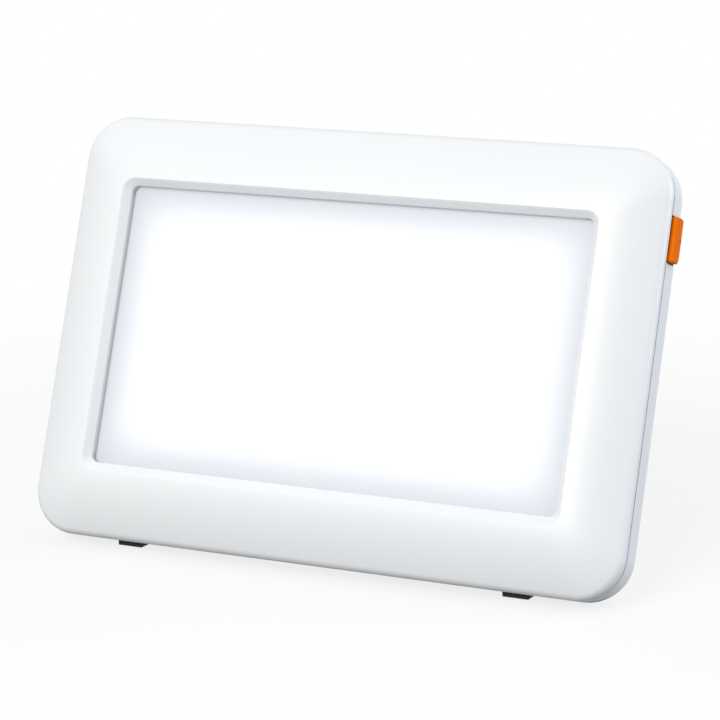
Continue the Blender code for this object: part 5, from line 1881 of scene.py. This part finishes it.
@dataclass
class PowerSocket:
    """The round power inlet in the left side, with its centre pin."""

    case: Case
    y: float = 19.3 * MM
    z: float = -30 * MM
    setback: float = 4 * MM
    recess: float = 0.4 * MM
    width: float = 9 * MM
    length: float = 12 * MM
    height: float = 9.2 * MM
    nose_radius: float = 3.7 * MM
    bore_radius: float = 2.8 * MM
    bore_depth: float = 9 * MM
    pin_radius: float = 1 * MM
    pin_length: float = 8 * MM
    lead: float = 0.35 * MM
    lead_share: float = 0.3
    block_edge: float = 0.3 * MM
    pin_round_share: float = 0.6
    pin_steps: int = 5

    @property
    def front(self) -> float:
        """The distance of the nose's end from the nose's own origin, the body's side."""
        return self.case.cover_inset + self.recess

    @property
    def place(self) -> Matrix:
        """From a frame whose Y runs into the body to the table's frame."""
        spot = Matrix.Translation((-self.case.body.width / 2, self.y, self.z))
        return LEAN @ spot @ Matrix.Rotation(-RIGHT_ANGLE, 4, "Z")

    def housing(self) -> bpy.types.Mesh:
        """The socket's block, its turned nose and its bore."""
        bore_end = self.front + self.bore_depth
        nose_end = self.setback + WELD
        radius, bore, lead = self.nose_radius, self.bore_radius, self.lead
        nose = turned(
            "socket_nose",
            [
                (0.0, self.front),
                (radius - lead, self.front),
                (radius - lead * self.lead_share, self.front + lead * self.lead_share),
                (radius, self.front + lead),
                (radius, nose_end),
                (0.0, nose_end),
            ],
        )
        bore_tool = turned(
            "socket_bore",
            [
                (0.0, self.front - OVERRUN),
                (bore + lead, self.front - OVERRUN),
                (bore + lead, self.front),
                (bore, self.front + lead),
                (bore, bore_end),
                (0.0, bore_end),
            ],
        )
        half = self.width / 2
        block = rounded_box(
            "socket_block",
            (-self.height / 2, self.setback, -half),
            (self.height / 2, self.setback + self.length, half),
            self.block_edge,
            2,
        )
        return joined(block, (Join.ADD, nose), (Join.CUT, bore_tool))

    def pin(self) -> bpy.types.Mesh:
        """The centre pin, with a rounded end."""
        end = self.front + self.bore_depth - SEAT_GAP
        start = end - self.pin_length
        radius = self.pin_radius
        points = [(0.0, start)]
        for step in range(1, self.pin_steps + 1):
            angle = RIGHT_ANGLE * step / self.pin_steps
            rise = radius * self.pin_round_share * (1 - math.cos(angle))
            points.append((radius * math.sin(angle), start + rise))
        return turned("socket_pin", points + [(radius, end), (0.0, end)])

    def build(self, housing: bpy.types.Material, pin: bpy.types.Material) -> None:
        """Builds the socket and its pin.

        Args:
            housing: The socket's material.
            pin: The pin's material.
        """
        place_piece(
            "power_inlet",
            self.housing(),
            housing,
            Body.LAMP,
            self.place,
            ["power_socket"],
        )
        place_piece("power_inlet_pin", self.pin(), pin, Body.LAMP, self.place, ["socket_pin"])


# ---------------------------------------------------------------- finishes inside


@dataclass
class InnerParts:
    """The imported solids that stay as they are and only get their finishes."""

    finishes: tuple[tuple[Finish, tuple[str, ...]], ...] = (
        (OPAL_ACRYLIC, ("diffuser_panel",)),
        (GREY_FOAM, ("panel_gasket",)),
        (REFLECTOR_WHITE, ("reflector_tray",)),
        (ROLLED_ALUMINIUM, ("led_plate",)),
        (LED_BOARD, tuple(f"led_strip_{number}" for number in range(1, 7))),
        (GREEN_BOARD, ("control_board", "switch_board")),
        (BLACK_EPOXY, ("driver_chip", "power_inductor", "filter_capacitor")),
        (CREAM_NYLON, ("led_header", "switch_header", "switch_plug", "led_board_plug")),
        (RED_PVC, ("led_wire_upper",)),
        (BLACK_PVC, ("led_wire_lower", "switch_wire_lower", "switch_wire_upper")),
        (BLACK_NYLON, ("switch_body", "switch_plunger")),
        (
            ZINC_STEEL,
            (
                "kickstand_axle",
                "switch_cover",
                *(f"tray_screw_{number}" for number in range(1, 5)),
                *(f"control_board_screw_{number}" for number in (1, 2)),
                *(f"switch_board_screw_{number}" for number in (1, 2)),
            ),
        ),
    )

    def dress(self, shared: dict[str, bpy.types.Material]) -> None:
        """Gives each solid its material.

        Args:
            shared: Materials that are made already, by name.
        """
        for finish, names in self.finishes:
            material = shared.get(finish.name) or finish.make()
            for name in names:
                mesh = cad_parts[name].data
                mesh.materials.clear()
                mesh.materials.append(material)
                LOG.info("%s: %s", name, finish.name)


# ---------------------------------------------------------------- the studio


@dataclass
class Studio:
    """The floor, the soft light and the camera."""

    floor_reach: float = 12.0
    floor_share_lit: float = 0.2
    floor_fade: tuple[float, float] = (0.16, 0.6)
    floor_bounce: str = "74767A"
    floor_seen: str = "F8F8F8"
    backdrop: str = "FFFFFF"
    camera_place: Point = (413.54 * MM, -925.37 * MM, 307.55 * MM)
    camera_turn: Point = (77.285, -0.087, 24.002)
    lens: float = 131.91
    sensor: float = 36.0
    ambient: float = 0.5
    ambient_colour: str = "F6F9FC"
    aim_height: float = 80 * MM
    softboxes: tuple[tuple[str, Point, float, float, str], ...] = (
        ("key_softbox", (-0.08, -1.38, 0.84), 0.7, 17.2, "FFFEFC"),
        ("side_softbox", (1.1, 0.62, 0.35), 0.6, 7.7, "EEF3FF"),
    )

    def seen_or_mirrored(self, tree: bpy.types.NodeTree) -> bpy.types.NodeSocket:
        """One where the camera, a mirror or a clear part looks, and nought for other light."""
        path = add_node(tree, "LightPath")
        share = path.outputs["Is Camera Ray"]
        for kind in ("Is Glossy Ray", "Is Transmission Ray"):
            share = add_node(
                tree, "Math", {"operation": "MAXIMUM"}, {0: share, 1: path.outputs[kind]}
            ).outputs[0]
        return share

    def floor(self) -> None:
        """A wide pale floor that keeps the lamp's shadow."""
        builder = bmesh.new()
        bmesh.ops.create_grid(builder, x_segments=1, y_segments=1, size=self.floor_reach)
        mesh = bpy.data.meshes.new("floor")
        builder.to_mesh(mesh)
        builder.free()
        material = bpy.data.materials.new("pale_paper_floor")
        material.use_nodes = True
        tree = material.node_tree
        tree.nodes.clear()
        seen = self.seen_or_mirrored(tree)
        # What the floor throws back on the lamp is dimmer than what the camera sees of it.
        paper = add_node(
            tree,
            "Mix",
            {"data_type": "RGBA", 6: linear(self.floor_bounce), 7: linear(self.floor_seen)},
            {0: seen},
        )
        lit = add_node(tree, "BsdfDiffuse", links={"Color": paper.outputs[2]})
        white = add_node(tree, "Emission", {"Color": linear(self.backdrop), "Strength": 1.0})
        # Away from the lamp, where there is no shadow to keep, it turns into the backdrop.
        place = add_node(tree, "TexCoord").outputs["Object"]
        away = add_node(tree, "VectorMath", {"operation": "LENGTH"}, {0: place})
        glow = add_node(
            tree,
            "MapRange",
            {
                "interpolation_type": "SMOOTHSTEP",
                "From Min": self.floor_fade[0],
                "From Max": self.floor_fade[1],
                "To Min": 1 - self.floor_share_lit,
            },
            {"Value": away.outputs["Value"]},
        )
        share = add_node(tree, "Math", {"operation": "MULTIPLY"}, {0: seen, 1: glow.outputs[0]})
        mixed = add_node(
            tree, "MixShader", links={0: share.outputs[0], 1: lit.outputs[0], 2: white.outputs[0]}
        )
        add_node(tree, "OutputMaterial", links={"Surface": mixed.outputs[0]})
        mesh.materials.append(material)
        floor = bpy.data.objects.new("floor", mesh)
        bpy.context.scene.collection.objects.link(floor)

    def world(self) -> None:
        """White where it is seen or mirrored, and a plain pale light elsewhere."""
        scene = bpy.context.scene
        scene.world = bpy.data.worlds.new("studio")
        scene.world.use_nodes = True
        tree = scene.world.node_tree
        tree.nodes.clear()
        seen = self.seen_or_mirrored(tree)
        ambient = add_node(
            tree, "Background", {"Color": linear(self.ambient_colour), "Strength": self.ambient}
        )
        white = add_node(tree, "Background", {"Color": linear(self.backdrop), "Strength": 1.0})
        mixed = add_node(tree, "MixShader", links={0: seen, 1: ambient.outputs[0], 2: white.outputs[0]})
        add_node(tree, "OutputWorld", links={"Surface": mixed.outputs[0]})

    def softbox(self, name: str, place: Point, size: float, power: float, colour: str) -> None:
        """A square area lamp that points at the middle of the body.

        Args:
            name: The lamp's name.
            place: Where it hangs.
            size: The length of its side.
            power: Its power in watts.
            colour: The sRGB colour of its light.
        """
        data = bpy.data.lights.new(name, "AREA")
        data.shape = "SQUARE"
        data.size = size
        data.energy = power
        data.color = linear(colour)[:3]
        lamp = bpy.data.objects.new(name, data)
        lamp.location = place
        aim = Vector((0, 0, self.aim_height)) - Vector(place)
        lamp.rotation_euler = aim.to_track_quat("-Z", "Y").to_euler()
        bpy.context.scene.collection.objects.link(lamp)

    def camera(self) -> None:
        """The camera at the photograph's angle."""
        data = bpy.data.cameras.new("camera")
        data.lens = self.lens
        data.sensor_width = self.sensor
        data.sensor_fit = "HORIZONTAL"
        made = bpy.data.objects.new("camera", data)
        made.location = self.camera_place
        made.rotation_euler = [math.radians(angle) for angle in self.camera_turn]
        bpy.context.scene.collection.objects.link(made)
        bpy.context.scene.camera = made

    def build(self) -> None:
        """Sets up the whole studio."""
        self.floor()
        self.world()
        for softbox in self.softboxes:
            self.softbox(*softbox)
        self.camera()
        bpy.context.scene.view_settings.view_transform = "Standard"


def main() -> None:
    """Builds and dresses the lamp, piece by piece, and sets up the studio."""
    logging.basicConfig(level=logging.INFO, format="%(message)s")
    case = Case()
    plan = StandPlan(case)
    made = {
        finish.name: finish.make()
        for finish in (WHITE_ABS, ORANGE_ABS, BLACK_RUBBER, BLACK_NYLON, ZINC_STEEL)
    }
    shell = made[WHITE_ABS.name]
    rubber = made[BLACK_RUBBER.name]
    steel = made[ZINC_STEEL.name]
    button, socket, feet = PowerButton(case), PowerSocket(case), RubberFeet(case, plan)
    FrontFrame(case).build(shell)
    RearCover(case, plan, button, socket, feet).build(shell)
    CaseScrews(case).build(steel)
    feet.build(rubber)
    Kickstand(plan).build(shell, rubber)
    button.build(made[ORANGE_ABS.name])
    socket.build(made[BLACK_NYLON.name], steel)
    InnerParts().dress(made)
    Studio().build()


if __name__ == "__main__":
    main()
